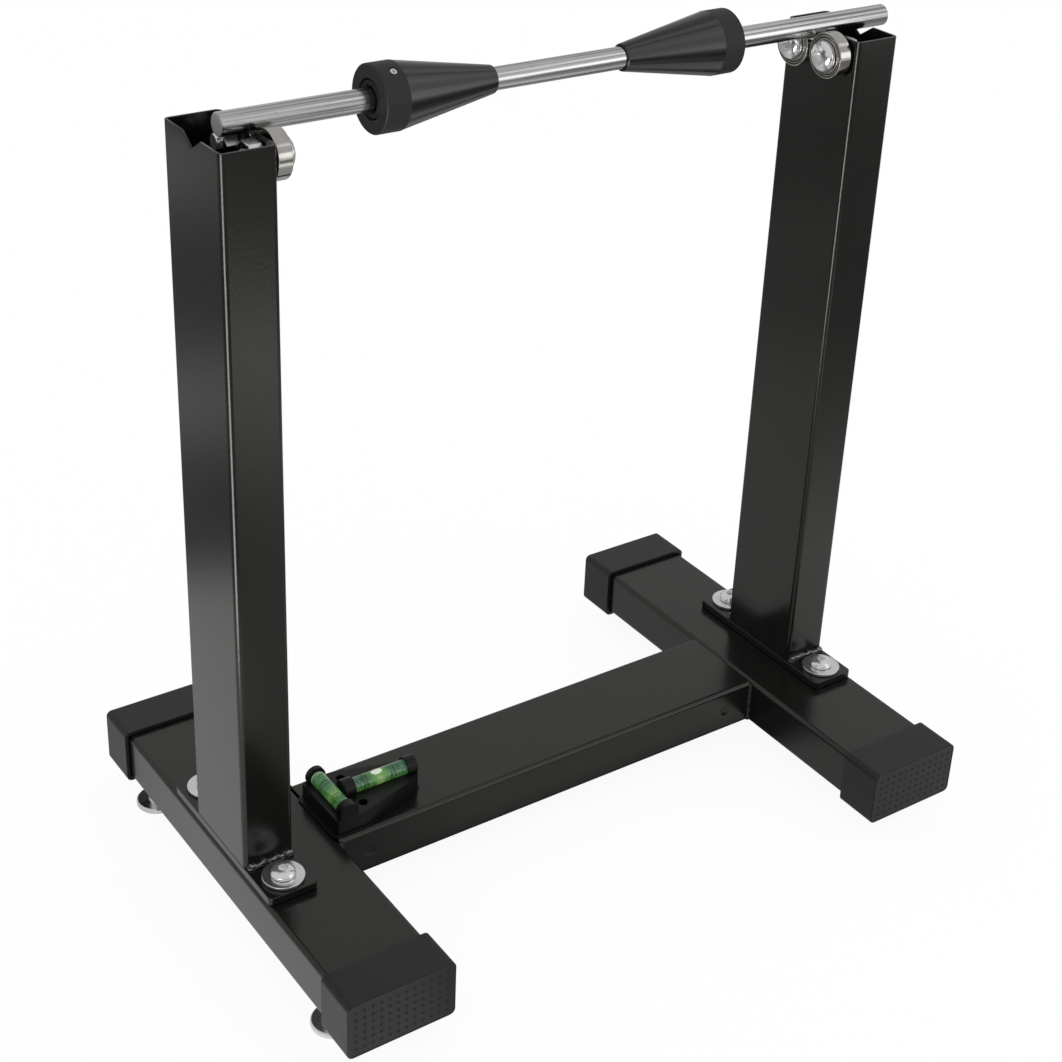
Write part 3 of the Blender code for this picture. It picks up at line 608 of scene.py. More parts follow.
# %% [markdown]
# ## Foot tubes and the tube between them
# These lie flat. The front of the middle tube has a shallow round dimple near each end. A wide ball, sunk 0.7
# mm into the wall, presses it.

# %% Lying tubes
DIMPLE_BALL, DIMPLE_BACK, DIMPLE_FROM_END = 9.1 * MM, 8.4 * MM, 20 * MM

for side in SIDES:
    foot = tube(f"foot_shell_{side}", f"foot_tube_{side}", 1)
    walled(foot)
    deburred(foot)
    stands_for(foot, paint, "frame", "black_paint", f"foot_tube_{side}")

bar_low, bar_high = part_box("connecting_tube")
bar = tube("connecting_shell", "connecting_tube", 0)
walled(bar)
for x in (bar_low.x + DIMPLE_FROM_END, bar_high.x - DIMPLE_FROM_END):
    place = (x, bar_low.y - DIMPLE_BACK, (bar_low.z + bar_high.z) / 2)
    cut_away(bar, sphere("presser", 64, 32, DIMPLE_BALL, place, FACING_FRONT))
deburred(bar)
stands_for(bar, paint, "frame", "black_paint", "connecting_tube")
print("lying tubes", len(made_pieces))

# %% [markdown]
# ## Uprights
# An upright is the same tube on end, open at the top, with a V notch through both wide walls for the axle.
# The sheet is cut by one level plane at the notch's tip and by its two slopes, only above that plane, and the
# faces inside the V go. Solidify then gives the notch its thick rims.

# %% Uprights
NOTCH_HALF_WIDTH, NOTCH_BELOW_AXLE = 10.0 * MM, 9.9 * MM


def upright(side):
    low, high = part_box(f"upright_{side}")
    piece = tube(f"upright_shell_{side}", f"upright_{side}", 2)
    tip = Vector(((low.x + high.x) / 2, 0, axle_line.z - NOTCH_BELOW_AXLE))
    depth = high.z - tip.z
    slope = NOTCH_HALF_WIDTH / depth

    def in_notch(face):
        spot = face.calc_center_median()
        return abs(spot.y) < slope * (spot.z - tip.z)

    edit(piece)
    bpy.ops.mesh.bisect(plane_co=tip, plane_no=(0, 0, 1))
    for way in (-1, 1):
        pick(piece, "FACE", lambda face: face.calc_center_median().z > tip.z)
        bpy.ops.mesh.bisect(plane_co=tip, plane_no=(0, way * depth, -NOTCH_HALF_WIDTH))
    pick(piece, "FACE", in_notch)
    bpy.ops.mesh.delete(type="FACE")
    done()
    walled(piece)
    deburred(piece)
    stands_for(piece, paint, "frame", "black_paint", f"upright_{side}")


for side in SIDES:
    upright(side)
print("uprights", [piece.name for piece in made_pieces[-2:]])

# %% [markdown]
# ## Welds
# A weld is a row of small frozen pools, each lapping the one before. Flattened balls of uneven size are set
# in a row, fused by a voxel remesh, and roughened by a Displace modifier. The uneven sizes come from a sine,
# so that every run gives the same bead.

# %% Weld maker
POOL_STEP = 0.62
WELD_VOXEL, RIPPLE_SIZE, RIPPLE_DEPTH = 0.32 * MM, 1.4 * MM, 0.5 * MM


def weld_bead(name, start, end, radius, squash):
    """A bead from start to end. The squash scales the balls along X, Y and Z."""
    way = end - start
    count = round(way.length / (radius * POOL_STEP)) + 1
    pools = []
    for number in range(count):
        wobble = math.sin(number * 12.9898) * 43758.5453 % 1
        deselect()
        bpy.ops.mesh.primitive_uv_sphere_add(
            segments=14, ring_count=8, radius=radius * (0.82 + 0.30 * wobble),
            location=start + way * (number / (count - 1)), scale=squash,
        )
        pools.append(bpy.context.object)
    for pool in pools:
        pool.select_set(True)
    bpy.ops.object.join()
    bead = settle(named(name))
    modify(bead, "REMESH", mode="VOXEL", voxel_size=WELD_VOXEL)
    rough = bpy.data.textures.new("weld_ripple", "CLOUDS")
    rough.noise_scale = RIPPLE_SIZE
    modify(bead, "DISPLACE", texture=rough, texture_coords="LOCAL", strength=RIPPLE_DEPTH, mid_level=0.5)
    modify(bead, "SMOOTH", factor=0.4, iterations=1)
    all_smooth(bead)
    return bead


# %% [markdown]
# ## Base plates
# Each upright is welded to a flat plate, with a bead along the front and the rear of the upright. Two screws
# hold the plate down on the foot tube.

# %% Base plates and their beads
BEAD_OUT, BEAD_UP, BEAD_SHORT = 0.9 * MM, 0.8 * MM, 2.4 * MM

for side in SIDES:
    low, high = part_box(f"base_plate_{side}")
    top = low.z + PLATE_THICKNESS
    plate = block(f"plate_{side}", low, Vector((high.x, high.y, top)))
    long_edges_round(plate, 2, 3 * MM, 8)
    soften(plate, 0.5 * MM, 3)
    smooth(plate)
    stands_for(plate, paint, "frame", "black_paint", f"base_plate_{side}")
    for end, way in ENDS.items():
        y = (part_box(f"upright_{side}")[1].y + BEAD_OUT) * way
        start, stop = (Vector((x, y, top + BEAD_UP)) for x in (low.x + BEAD_SHORT, high.x - BEAD_SHORT))
        bead = weld_bead(f"plate_bead_{side}_{end}", start, stop, 2.3 * MM, (0.75, 1.0, 1.05))
        stands_for(bead, welded, "frame", "black_paint")
print("plates and beads", [piece.name for piece in made_pieces[-6:]])

# %% [markdown]
# Where the middle tube meets the feet, a slim fillet fills the inner corner at its front and rear.

# %% Corner welds
for side, way in SIDES.items():
    x = bar_low.x if side == "left" else bar_high.x
    for end, turn in ENDS.items():
        place = Vector((x - way * 0.3 * MM, bar_high.y * turn + turn * 0.1 * MM, 0))
        start, stop = (place + Vector((0, 0, z)) for z in (bar_low.z + 2.5 * MM, bar_high.z - 2.5 * MM))
        bead = weld_bead(f"corner_bead_{side}_{end}", start, stop, 2.1 * MM, (1, 1, 0.8))
        stands_for(bead, paint, "frame", "black_paint")
print("corner welds", 4)

# %% [markdown]
# ## End caps
# A cap is a soft moulding pushed over the tube. The block's long edges are rounded, its outer end is rounded
# less, and the inner end is inset by the wall's thickness and pushed in to make the sleeve. Its outer face
# has twelve by six blind round pits. An image or a bump would draw them, but they would be lost on the mesh,
# so one punch cuts them all.

# %% End caps
PIT_COLUMNS, PIT_ROWS = 12, 6
PIT_RIGHT, PIT_UP, PIT_RADIUS = 5.0 * MM, 4.9 * MM, 1.15 * MM
CAP_CORNER, CAP_END_CORNER, CAP_DISH = 3.6 * MM, 1.0 * MM, 0.35 * MM
CAP_WALL, CAP_SLEEVE = 2.4 * MM, 25 * MM


def pit_punch(centre):
    """Round-nosed pins in a grid across X and Z. Two Array modifiers repeat the first one."""
    corner = centre - Vector(((PIT_COLUMNS - 1) * PIT_RIGHT, 0, (PIT_ROWS - 1) * PIT_UP)) / 2
    pin = sphere("pit_punch", 14, 8, PIT_RADIUS, corner, FACING_FRONT, (1, 1, 0.80))
    offset = {"use_relative_offset": False, "use_constant_offset": True}
    for count, step in ((PIT_COLUMNS, (PIT_RIGHT, 0, 0)), (PIT_ROWS, (0, 0, PIT_UP))):
        modify(pin, "ARRAY", count=count, constant_offset_displace=step, **offset)
    return pin


def end_cap(side, end):
    low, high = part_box(f"end_cap_{side}_{end}")
    way = ENDS[end]
    outer = high.y if way > 0 else low.y
    piece = block(f"cap_{side}_{end}", low, high)
    long_edges_round(piece, 1, CAP_CORNER, 8)
    edit(piece)
    pick(piece, "EDGE", lambda edge: all(abs(vertex.co.y - outer) < 0.1 * MM for vertex in edge.verts))
    bpy.ops.mesh.bevel(offset=CAP_END_CORNER, segments=4, profile=0.5)
    pick(piece, "FACE", lambda face: face.normal.y * way > 0.99)
    bpy.ops.mesh.inset(thickness=0.5 * MM)
    bpy.ops.transform.translate(value=(0, -way * CAP_DISH, 0))
    pick(piece, "FACE", lambda face: face.normal.y * way < -0.99)
    bpy.ops.mesh.inset(thickness=CAP_WALL)
    bpy.ops.mesh.extrude_region_move(TRANSFORM_OT_translate={"value": (0, way * CAP_SLEEVE, 0)})
    done()
    soften(piece, 0.3 * MM, 2, 40)
    cut_away(piece, pit_punch(Vector(((low.x + high.x) / 2, outer, (low.z + high.z) / 2))))
    smooth(piece)
    stands_for(piece, cap_black, "frame", "black_plastic", f"end_cap_{side}_{end}")


for side, end in POSTS:
    end_cap(side, end)
print("end caps", 4)

# %% [markdown]
# ## Domed screws
# A button head is a low dome with a hexagon socket. The dome's stations follow an arc, from just above its
# rim to the flat top. A six-sided bar cuts the socket.

# %% Screw maker
RIM_ANGLE, TOP_ANGLE, DOME_STEPS = 6, 68, 8


def domed_screw(name, shank, length, head, height, socket, depth):
    """Sizes in millimetres, radii but for the socket's width. The head stands above z = 0."""
    rim = height * 0.22
    dome = []
    for step in range(DOME_STEPS + 1):
        turn = math.radians(RIM_ANGLE + (TOP_ANGLE - RIM_ANGLE) * step / DOME_STEPS)
        reach = head * math.cos(turn) / math.cos(math.radians(RIM_ANGLE))
        rise = (height - rim) * math.sin(turn) / math.sin(math.radians(TOP_ANGLE))
        dome.append((reach, rim + rise))
    stem = [(shank * 0.8, -length), (shank, -length + shank * 0.3), (shank, 0)]
    piece = turned(name, stem + [(head * 0.985, 0), (head, rim * 0.5)] + dome, 48)
    corner = socket / 2 / math.cos(math.pi / 6)
    cut_away(piece, cylinder("punch", 6, corner * MM, 6 * MM, (0, 0, (height - depth + 3) * MM)))
    soften(piece, 0.18 * MM, 2, 40)
    smooth(piece)
    return piece


# %% [markdown]
# ## Screws on the plates
# Each plate has a screw and a broad zinc-plated washer in front of the upright and behind it. Each screw's
# socket stops at another turn, as it does where screws are tightened by hand.

# %% Plate screws
PLATE_HEAD = 4.4
FIRST_STOP, NEXT_STOP = 460, 46

plate_screw = domed_screw("plate_screw", 4, 18.9, 7, PLATE_HEAD, 5, 2.6)
broad_washer = turned("broad_washer", [(4.3, 0), (12, 0), (12, 2), (4.3, 2)], 64, hollow=True)
soften(broad_washer, 0.35 * MM, 3, 40)
smooth(broad_washer)
for number, (side, end) in enumerate(POSTS):
    ring, node = f"plate_washer_{side}_{end}", f"plate_screw_{side}_{end}"
    spot = middle(ring)
    place = (spot.x, spot.y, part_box(ring)[0].z)
    dressed(broad_washer, f"washer_{side}_{end}", place, STANDING, zinc, "frame", "zinc_plate", ring)
    place = (spot.x, spot.y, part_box(node)[1].z - PLATE_HEAD * MM)
    turn = (0, 0, math.radians(FIRST_STOP + NEXT_STOP * number))
    dressed(plate_screw, f"screw_{side}_{end}", place, turn, screw_steel, "frame", "screw_steel", node)
put_away(plate_screw, broad_washer)
print("plate screws", 4)

# %% [markdown]
# ## Levelling feet
# A zinc-plated disc carries a threaded stud, which screws up into the tube. The thread's stations go in and
# out by half a millimetre at every turn.

# %% Levelling feet
THREAD_START, THREAD_PITCH = 5.4, 1.25
CORE, CREST = 3.5, 4.0

low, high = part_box("levelling_foot_left_front")
stud_top = (high.z - low.z) / MM
stations = [(11.7, 0), (12.5, 0.8), (12.5, 3.1), (11.8, 3.8), (5.2, 3.8), (5.0, 4.0), (5.0, 4.8), (4.8, 5.0)]
stations += [(CORE, 5.0)]
height = THREAD_START
while height < stud_top - 1.2:
    stations += [(CORE, height), (CREST, height + 0.45), (CREST, height + 0.6), (CORE, height + 1.05)]
    height += THREAD_PITCH
stations += [(3.4, stud_top - 0.1), (3.0, stud_top)]
foot_pattern = turned("foot_pattern", stations, 48)
soften(foot_pattern, 0.15 * MM, 2, 60)
smooth(foot_pattern)
for side, end in POSTS:
    node = f"levelling_foot_{side}_{end}"
    spot = middle(node)
    place = (spot.x, spot.y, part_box(node)[0].z)
    body = f"{side}_{end}_levelling_foot"
    dressed(foot_pattern, f"foot_{side}_{end}", place, STANDING, zinc, body, "zinc_plate", node)
put_away(foot_pattern)
print("levelling feet", 4, "stud", round(stud_top, 1), "mm")

# %% [markdown]
# ## Ball bearings
# Each bearing is a standing inner ring on its bolt and a rolling outer ring, with a pressed steel shield
# between them. The outer ring and its shields are one closed outline, turned about the bearing's axis. Two
# grooves and a rolled rim part the shield from the ring. A thin black ring lies in each groove as painted
# shade: the rings show as the two dark circles.

# %% Bearing patterns
BOLT_HEAD = 5.2

rolling_ring = turned(
    "rolling_ring",
    [
        (13.0, -3.6), (13.0, 3.6), (12.7, 4.0), (12.1, 4.0), (12.0, 3.4), (11.5, 3.2), (11.4, 3.85),
        (10.8, 3.85), (10.7, 3.2), (10.2, 3.2), (10.1, 3.7), (9.4, 3.75), (8.4, 3.6), (7.7, 3.4), (7.7, 2.8),
        (11.4, 2.8), (11.4, -3.1), (7.7, -3.1), (7.7, -3.4), (8.4, -3.6), (10.7, -3.5), (11.0, -3.3),
        (11.3, -3.45), (11.3, -3.8), (11.5, -4.0), (12.6, -4.0),
    ],
    72,
    hollow=True,
)
soften(rolling_ring, 0.08 * MM, 2, 35)
smooth(rolling_ring)
standing_ring = turned(
    "standing_ring",
    [
        (5.0, -4), (7.2, -4), (7.4, -3.8), (7.4, -2), (6.3, -1), (6.3, 1), (7.4, 2), (7.4, 3.8), (7.2, 4),
        (5.0, 4),
    ],
    64,
    hollow=True,
)
smooth(standing_ring)
# Thin black rings for the two grooves: painted shade that darkens them.
groove_shades = []
for number, (inside, outside, top) in enumerate(((10.2, 10.68, 3.45), (11.45, 12.02, 3.6)), 1):
    outline = [(inside, 3.0), (outside, 3.0), (outside, top), (inside, top)]
    groove_shades.append(turned(f"groove_shade_pattern_{number}", outline, 64, hollow=True))
    smooth(groove_shades[-1])
bolt = domed_screw("bolt_pattern", 4.7, 21.7, 8.75, BOLT_HEAD, 6, 3.0)
print("bearing patterns", rolling_ring.name, standing_ring.name, bolt.name)

# %% Bearings
for side, end in POSTS:
    post, turn = f"{side}_{end}", inward(side)
    body, node = f"{post}_bearing_ring", f"bearing_outer_ring_{post}"
    spot = middle(node)
    dressed(rolling_ring, f"rolling_ring_{post}", spot, turn, ring_steel, body, "bearing_steel", node)
    # The black rings in the grooves are painted shade.
    for number, groove_shade in enumerate(groove_shades, 1):
        dressed(groove_shade, f"seal_{number}_{post}", spot, turn, rubber_black, body, "rubber")
    node = f"bearing_inner_ring_{post}"
    spot = middle(node)
    dressed(standing_ring, f"standing_ring_{post}", spot, turn, shield_steel, "frame", "bearing_steel", node)
    node = f"bearing_bolt_{post}"
    low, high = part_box(node)
    spot = middle(node)
    place = (high.x - BOLT_HEAD * MM if side == "left" else low.x + BOLT_HEAD * MM, spot.y, spot.z)
    dressed(bolt, f"bolt_{post}", place, turn, screw_steel, "frame", "screw_steel", node)
put_away(rolling_ring, standing_ring, bolt, *groove_shades)
print("bearings", 4)

# %% [markdown]
# ## Nuts inside the uprights
# A nut is a hexagonal bar whose corners are chamfered by a lathe. The corners are cut off by a wide cone on
# both faces: here a turned blank meets the hexagon in a boolean, which keeps only what both hold.

# %% Nuts
NUT_CORNER, NUT_FACE, NUT_HEIGHT, NUT_BORE = 9.24, 7.4, 8.0, 5.0

blank = [(NUT_FACE, 0), (NUT_CORNER, 0.9), (NUT_CORNER, 7.1), (NUT_FACE, NUT_HEIGHT)]
nut = turned("nut_pattern", blank, 72)
half_way = (0, 0, NUT_HEIGHT / 2 * MM)
cut_away(nut, cylinder("hexagon", 6, NUT_CORNER * MM, 12 * MM, half_way), "INTERSECT")
cut_away(nut, cylinder("bore", 48, NUT_BORE * MM, 12 * MM, half_way))
soften(nut, 0.15 * MM, 2, 30)
smooth(nut)
for side, end in POSTS:
    node = f"bearing_nut_{side}_{end}"
    low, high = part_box(node)
    spot = middle(node)
    place = (low.x if side == "left" else high.x, spot.y, spot.z)
    dressed(nut, f"nut_{side}_{end}", place, inward(side), zinc, "frame", "zinc_plate", node)
put_away(nut)
print("nuts", 4)

# %% [markdown]
# ## Axle
# A drawn bar, 12 mm thick, with a small chamfer at each end and the faint dish that a parting tool leaves.

# %% Axle
low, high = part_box("axle")
length = (high.x - low.x) / MM
stations = [
    (5.0, 0.12), (5.35, 0), (6.0, 0.65), (6.0, length * 0.5), (6.0, length - 0.65), (5.35, length),
    (5.0, length - 0.12),
]
shaft = turned("shaft", stations, 96)
soften(shaft, 0.12 * MM, 2, 25)
smooth(shaft, 25)
placed(shaft, (low.x, axle_line.y, axle_line.z), FACING_RIGHT)
stands_for(shaft, bar_steel, "axle", "axle_steel", "axle")
print("axle", round(length, 1), "mm long")

# %% [markdown]
# ## Cones
# Each cone has a plain band at its wide end, with a clamp screw in it, and a hollow in its back face, where a
# rubber ring closes round the axle. The outline runs once round the wall, from the back face over the slope
# and back through the bore.

# %% Cones
GRUB_FROM_BACK, GRUB_RADIUS, GRUB_TOP = 9 * MM, 2.0, 17.1
GRIP_RADIUS, GRIP_THICKNESS = 8.1 * MM, 1.75 * MM


def centring_cone(side, grub_angle):
    low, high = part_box(f"cone_{side}")
    length = (high.x - low.x) / MM
    back = low.x if side == "left" else high.x
    stations = [
        (11.0, 0.0), (16.9, 0.0), (17.6, 0.7), (17.6, 13.4), (17.45, 13.9), (7.4, length - 0.4),
        (6.9, length), (6.4, length), (6.4, 4.0), (9.9, 4.0), (10.5, 0.35),
    ]
    cone = turned(f"centring_cone_{side}", stations, 96, hollow=True)
    placed(cone, (back, 0, axle_line.z), inward(side))
    radial = Vector((0, math.cos(grub_angle), math.sin(grub_angle)))
    centre = Vector((back - SIDES[side] * GRUB_FROM_BACK, 0, axle_line.z))
    tilt = (grub_angle - math.pi / 2, 0, 0)
    cut_away(cone, cylinder("drill", 32, 2.25 * MM, 14 * MM, centre + radial * 15 * MM, tilt))
    soften(cone, 0.2 * MM, 2, 30)
    smooth(cone, 12)
    stands_for(cone, cone_black, f"{side}_cone", "black_anodised", f"cone_{side}")
    stations = [(1.6, 6.4), (GRUB_RADIUS, 7.0), (GRUB_RADIUS, 16.7), (1.75, GRUB_TOP)]
    screw = turned(f"clamp_screw_{side}", stations, 40)
    cut_away(screw, cylinder("key", 6, 1.2 * MM, 5 * MM, (0, 0, 17.3 * MM)))
    soften(screw, 0.1 * MM, 2, 40)
    smooth(screw)
    placed(screw, centre, tilt)
    stands_for(screw, screw_steel, f"{side}_cone", "screw_steel", f"grub_screw_{side}")
    low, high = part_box(f"rubber_ring_{side}")
    deselect()
    bpy.ops.mesh.primitive_torus_add(
        major_segments=72, minor_segments=20, major_radius=GRIP_RADIUS, minor_radius=GRIP_THICKNESS
    )
    rubber = placed(named(f"grip_ring_{side}"), ((low.x + high.x) / 2, 0, axle_line.z), FACING_RIGHT)
    all_smooth(rubber)
    stands_for(rubber, rubber_black, f"{side}_cone", "rubber", f"rubber_ring_{side}")


centring_cone("left", math.radians(118))
centring_cone("right", math.radians(-55))
print("cones", [piece.name for piece in made_pieces[-6:]])

# %% [markdown]
# ## Spirit level: the housing
# The housing is a low block whose far end tapers. Bisect trims the block to its outline and fills each cut.
# Round walls at the vials' ends are joined on, the vials' troughs and the two screw holes are cut out, and a
# thin foot runs round the bottom edge. It is widest at the left, where it covers the groove between the two
# tubes.

# %% Level outline
def trimmed(piece, cuts):
    """Each cut is a place and the outward direction of what goes."""
    for place, way in cuts:
        edit(piece)
        bpy.ops.mesh.bisect(plane_co=place, plane_no=way, use_fill=True, clear_outer=True)
        done()


def rod(name, radius, start, way, length):
    """A plain round tool that runs from its start along its way."""
    turn = way.to_track_quat("Z", "Y").to_euler()
    return cylinder(name, 48, radius, length, start + way * length / 2, turn)


housing_low, housing_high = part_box("level_housing")
cross_low, cross_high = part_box("level_vial_cross")
long_low, long_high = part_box("level_vial_long")
cross_axis = (cross_low + cross_high) / 2
long_axis = (long_low + long_high) / 2
mid_y = (housing_low.y + housing_high.y) / 2


def level_outline(grow, left):
    """The trims seen from above: two tapered sides and four short corners. The outline may grow all round."""
    cuts = []
    for way in (-1, 1):
        shoulder = Vector((housing_low.x + 18 * MM, mid_y + way * (21 * MM + grow), 0))
        far = Vector((housing_high.x - 4 * MM, mid_y + way * (9.5 * MM + grow), 0))
        run = far - shoulder
        cuts.append((shoulder, (run.y * -way, run.x * way, 0)))
        cuts.append((Vector((housing_high.x - 2 * MM + grow, mid_y + way * 7.5 * MM, 0)), (1, way, 0)))
        cuts.append((Vector((housing_low.x + 0.6 * MM - left, mid_y + way * 20.4 * MM, 0)), (-1, way, 0)))
    return cuts


print("housing spans", [round(size / MM, 1) for size in housing_high - housing_low], "mm")

# %% Level housing
DECK_HEIGHT, ARCH_RADIUS, TROUGH_GAP = 11.2 * MM, 5.9 * MM, 0.25 * MM
LIP, LEFT_LIP, LIP_HEIGHT = 0.9 * MM, 2.9 * MM, 1.2 * MM
RIGHTWARD, REARWARD, UPWARD = Vector((1, 0, 0)), Vector((0, 1, 0)), Vector((0, 0, 1))

deck = housing_low.z + DECK_HEIGHT
housing = block("housing", housing_low, Vector((housing_high.x, housing_high.y, deck)))
trimmed(housing, level_outline(0, 0))
ledge_low = Vector((housing_low.x - LEFT_LIP, housing_low.y - LIP, housing_low.z))
ledge_high = Vector((housing_high.x + LIP, housing_high.y + LIP, housing_low.z + LIP_HEIGHT))
ledge = block("ledge", ledge_low, ledge_high)
trimmed(ledge, level_outline(LIP, LEFT_LIP))
cut_away(housing, ledge, "UNION")
for start, way, length in (
    (Vector((cross_axis.x, housing_low.y, cross_axis.z)), REARWARD, 5.8 * MM),
    (Vector((cross_axis.x, housing_high.y, cross_axis.z)), -REARWARD, 3.0 * MM),
    (Vector((housing_low.x + 14.6 * MM, long_axis.y, long_axis.z)), RIGHTWARD, 6.8 * MM),
    (Vector((housing_high.x, long_axis.y, long_axis.z)), -RIGHTWARD, 6.2 * MM),
):
    cut_away(housing, rod("arch", ARCH_RADIUS, start + way * (0.05 * MM), way, length), "UNION")
trough_radius = (cross_high.x - cross_low.x) / 2 + TROUGH_GAP
for start, way, length in (
    (Vector((cross_axis.x, cross_low.y, cross_axis.z)), REARWARD, cross_high.y - cross_low.y),
    (Vector((long_low.x, long_axis.y, long_axis.z)), RIGHTWARD, long_high.x - long_low.x),
):
    cut_away(housing, rod("trough", trough_radius, start, way, length))
for way in (-1, 1):
    place = Vector((housing_low.x + 21.4 * MM, mid_y + way * 13.1 * MM, housing_low.z - 1 * MM))
    cut_away(housing, rod("screw_hole", 2.8 * MM, place, UPWARD, 20 * MM))
soften(housing, 0.3 * MM, 2, 40)
smooth(housing, 30)
stands_for(housing, housing_black, "frame", "black_plastic", "level_housing")
print("housing", len(housing.data.polygons), "faces")

# %% [markdown]
# ## Spirit level: the vials
# A vial is a clear tube, filled with green spirit but for one bubble, with pairs of black lines round it. The
# clear tube is a glassy shell over a green core. The core's colour is painted light and shade, and the core
# glows a little: pale at the ends, deep green beside the bubble and towards the top, a pool of yellow-green
# light below it, painted glints and shade streaks, and a broken painted highlight along the far side.

# %% Vial finishes
def clear_plastic():
    clear = Finish("clear_plastic", Roughness=0.04, IOR=1.30, Transmission_Weight=1.0)
    haze = clear.noise(300, 2)
    colour = clear.blend(haze, (0.86, 0.97, 0.86), (0.96, 1.0, 0.95))
    return clear.wear(colour, 0.02 + haze * 0.06)


def spirit(name, axis, start, length, pool, deep, body):
    """The pool is the middle of the stretch painted lighter, as a share of the length."""
    # The core glows a little, though it is no lamp.
    fluid = Finish(name, Specular_IOR_Level=0.5, Coat_Weight=0.6, Emission_Strength=0.25)
    spots = fluid.axes()
    share = (spots[axis] - start[axis]) * (1 / length)
    height = fluid.step(spots[2], start.z - 3.6 * MM, start.z + 3.2 * MM)
    ripple = fluid.noise(420, 3)
    pull = [0.16, 0.16, 0.16]
    pull[axis] = 1
    streaks = fluid.noise(2100, 3, tuple(pull))
    away = fluid.size(share - pool) + ripple * 0.12
    # Painted shade: deep green towards the top and away from the pool.
    colour = fluid.blend((0.25 + height * 0.75) * fluid.step(away, 0.08, 0.30), body, deep)
    # A pool of painted light, yellow-green and lighter low down.
    light_pool = (1 - fluid.step(away, 0.05, 0.16)) * (1 - height * 0.7)
    colour = fluid.blend(light_pool, colour, (0.46, 0.64, 0.20))
    # Painted light: the ends are pale.
    pale_ends = fluid.step(fluid.size(share - 0.5), 0.41, 0.46)
    # Painted glints in short streaks.
    glints = fluid.step(streaks, 0.54, 0.68)
    colour = fluid.blend(pale_ends * 0.7 + glints * 0.36, colour, (0.60, 0.78, 0.50))
    # A broken painted highlight along the far side, on the upper part.
    far_side = fluid.size(spots[1 - axis] - (start[1 - axis] + 2.9 * MM))
    lit_line = (1 - fluid.step(far_side, 0.15 * MM, 0.65 * MM)) * fluid.step(streaks, 0.44, 0.54) * height
    colour = fluid.blend(lit_line * 0.8, colour, (0.86, 0.94, 0.78))
    # Painted shade in short streaks.
    shade = fluid.step(streaks * -1, -0.46, -0.34)
    colour = fluid.blend(shade * 0.35, colour, (0.008, 0.060, 0.022))
    # The core glows in its own painted colour.
    return fluid.wear(colour, 0.10 + ripple * 0.12, ripple, 0.00010, glow=colour)


def plain(name, dark, light, roughness, **constants):
    """A finish with a little mottling."""
    made = Finish(name, **constants)
    mottle = made.noise(500, 3)
    return made.wear(made.blend(mottle, dark, light), roughness + mottle * 0.08)


clear = clear_plastic()
line_ink = plain("line_ink", (0.006, 0.008, 0.006), (0.014, 0.018, 0.014), 0.30)
# The white bubble is a painted highlight, and it glows a little.
glowing_white_air = plain(
    "glowing_white_air", (0.76, 0.84, 0.72), (0.97, 1.0, 0.95), 0.10,
    Coat_Weight=0.5, Emission_Color=(0.95, 1, 0.90, 1), Emission_Strength=0.35,
)
green_air = plain("green_air", (0.26, 0.50, 0.16), (0.50, 0.72, 0.32), 0.10, Coat_Weight=0.5)
print("made", clear.name, line_ink.name, glowing_white_air.name, green_air.name)

# %% Vials
BUBBLE_HALF_WIDTH, BUBBLE_HALF_HEIGHT, BUBBLE_RISE = 2.4, 1.9, 2.45 * MM
LINE_INSIDE, LINE_OUTSIDE, LINE_WIDTH = 4.06, 4.28, 0.4


def vial(name, node, axis, lines, bubble_at, bubble_half, air, pool, deep, body):
    """Lines, bubble and pool lie at shares of the length. The bubble's half length is in millimetres."""
    low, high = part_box(node)
    length = (high - low)[axis]
    end = length / MM
    way = Vector((0, 0, 0))
    way[axis] = 1
    start = (low + high) / 2 - way * length / 2
    turn = way.to_track_quat("Z", "Y").to_euler()
    outline = [(3.9, 0), (4.45, 0.5), (4.5, 1.2), (4.5, end - 1.2), (4.45, end - 0.5), (3.9, end)]
    shell = turned(f"{name}_tube", outline, 64)
    soften(shell, 0.15 * MM, 2, 20)
    smooth(shell)
    stands_for(placed(shell, start, turn), clear, "frame", "vial", node)
    outline = [(3.0, 0.5), (3.9, 1.1), (4.05, end * 0.5), (3.9, end - 1.1), (3.0, end - 0.5)]
    core = turned(f"{name}_spirit", outline, 48)
    smooth(core)
    green = spirit(f"{name}_green", axis, start, length, pool, deep, body)
    stands_for(placed(core, start, turn), green, "frame", "vial")
    for number, share in enumerate(lines, 1):
        near, far = end * share, end * share + LINE_WIDTH
        outline = [(LINE_INSIDE, near), (LINE_OUTSIDE, near), (LINE_OUTSIDE, far), (LINE_INSIDE, far)]
        ring = turned(f"{name}_line_{number}", outline, 48, hollow=True)
        smooth(ring)
        stands_for(placed(ring, start, turn), line_ink, "frame", "vial")
    size = Vector((BUBBLE_HALF_WIDTH, BUBBLE_HALF_WIDTH, BUBBLE_HALF_HEIGHT))
    size[axis] = bubble_half
    place = start + way * length * bubble_at + Vector((0, 0, BUBBLE_RISE))
    bubble = sphere(f"{name}_bubble", 32, 20, 1 * MM, place, STANDING, size)
    all_smooth(bubble)
    stands_for(bubble, air, "frame", "vial")


vial(
    "cross_vial", "level_vial_cross", 1, (0.22, 0.27, 0.32, 0.64, 0.70), 0.47, 3.6, green_air, 0.37,
    (0.040, 0.220, 0.070), (0.150, 0.430, 0.070),
)
vial(
    "long_vial", "level_vial_long", 0, (0.25, 0.30, 0.66, 0.71), 0.48, 6.4, glowing_white_air, 0.50,
    (0.014, 0.125, 0.048), (0.120, 0.350, 0.065),
)
print("vials", [piece.name for piece in made_pieces[-15:]])

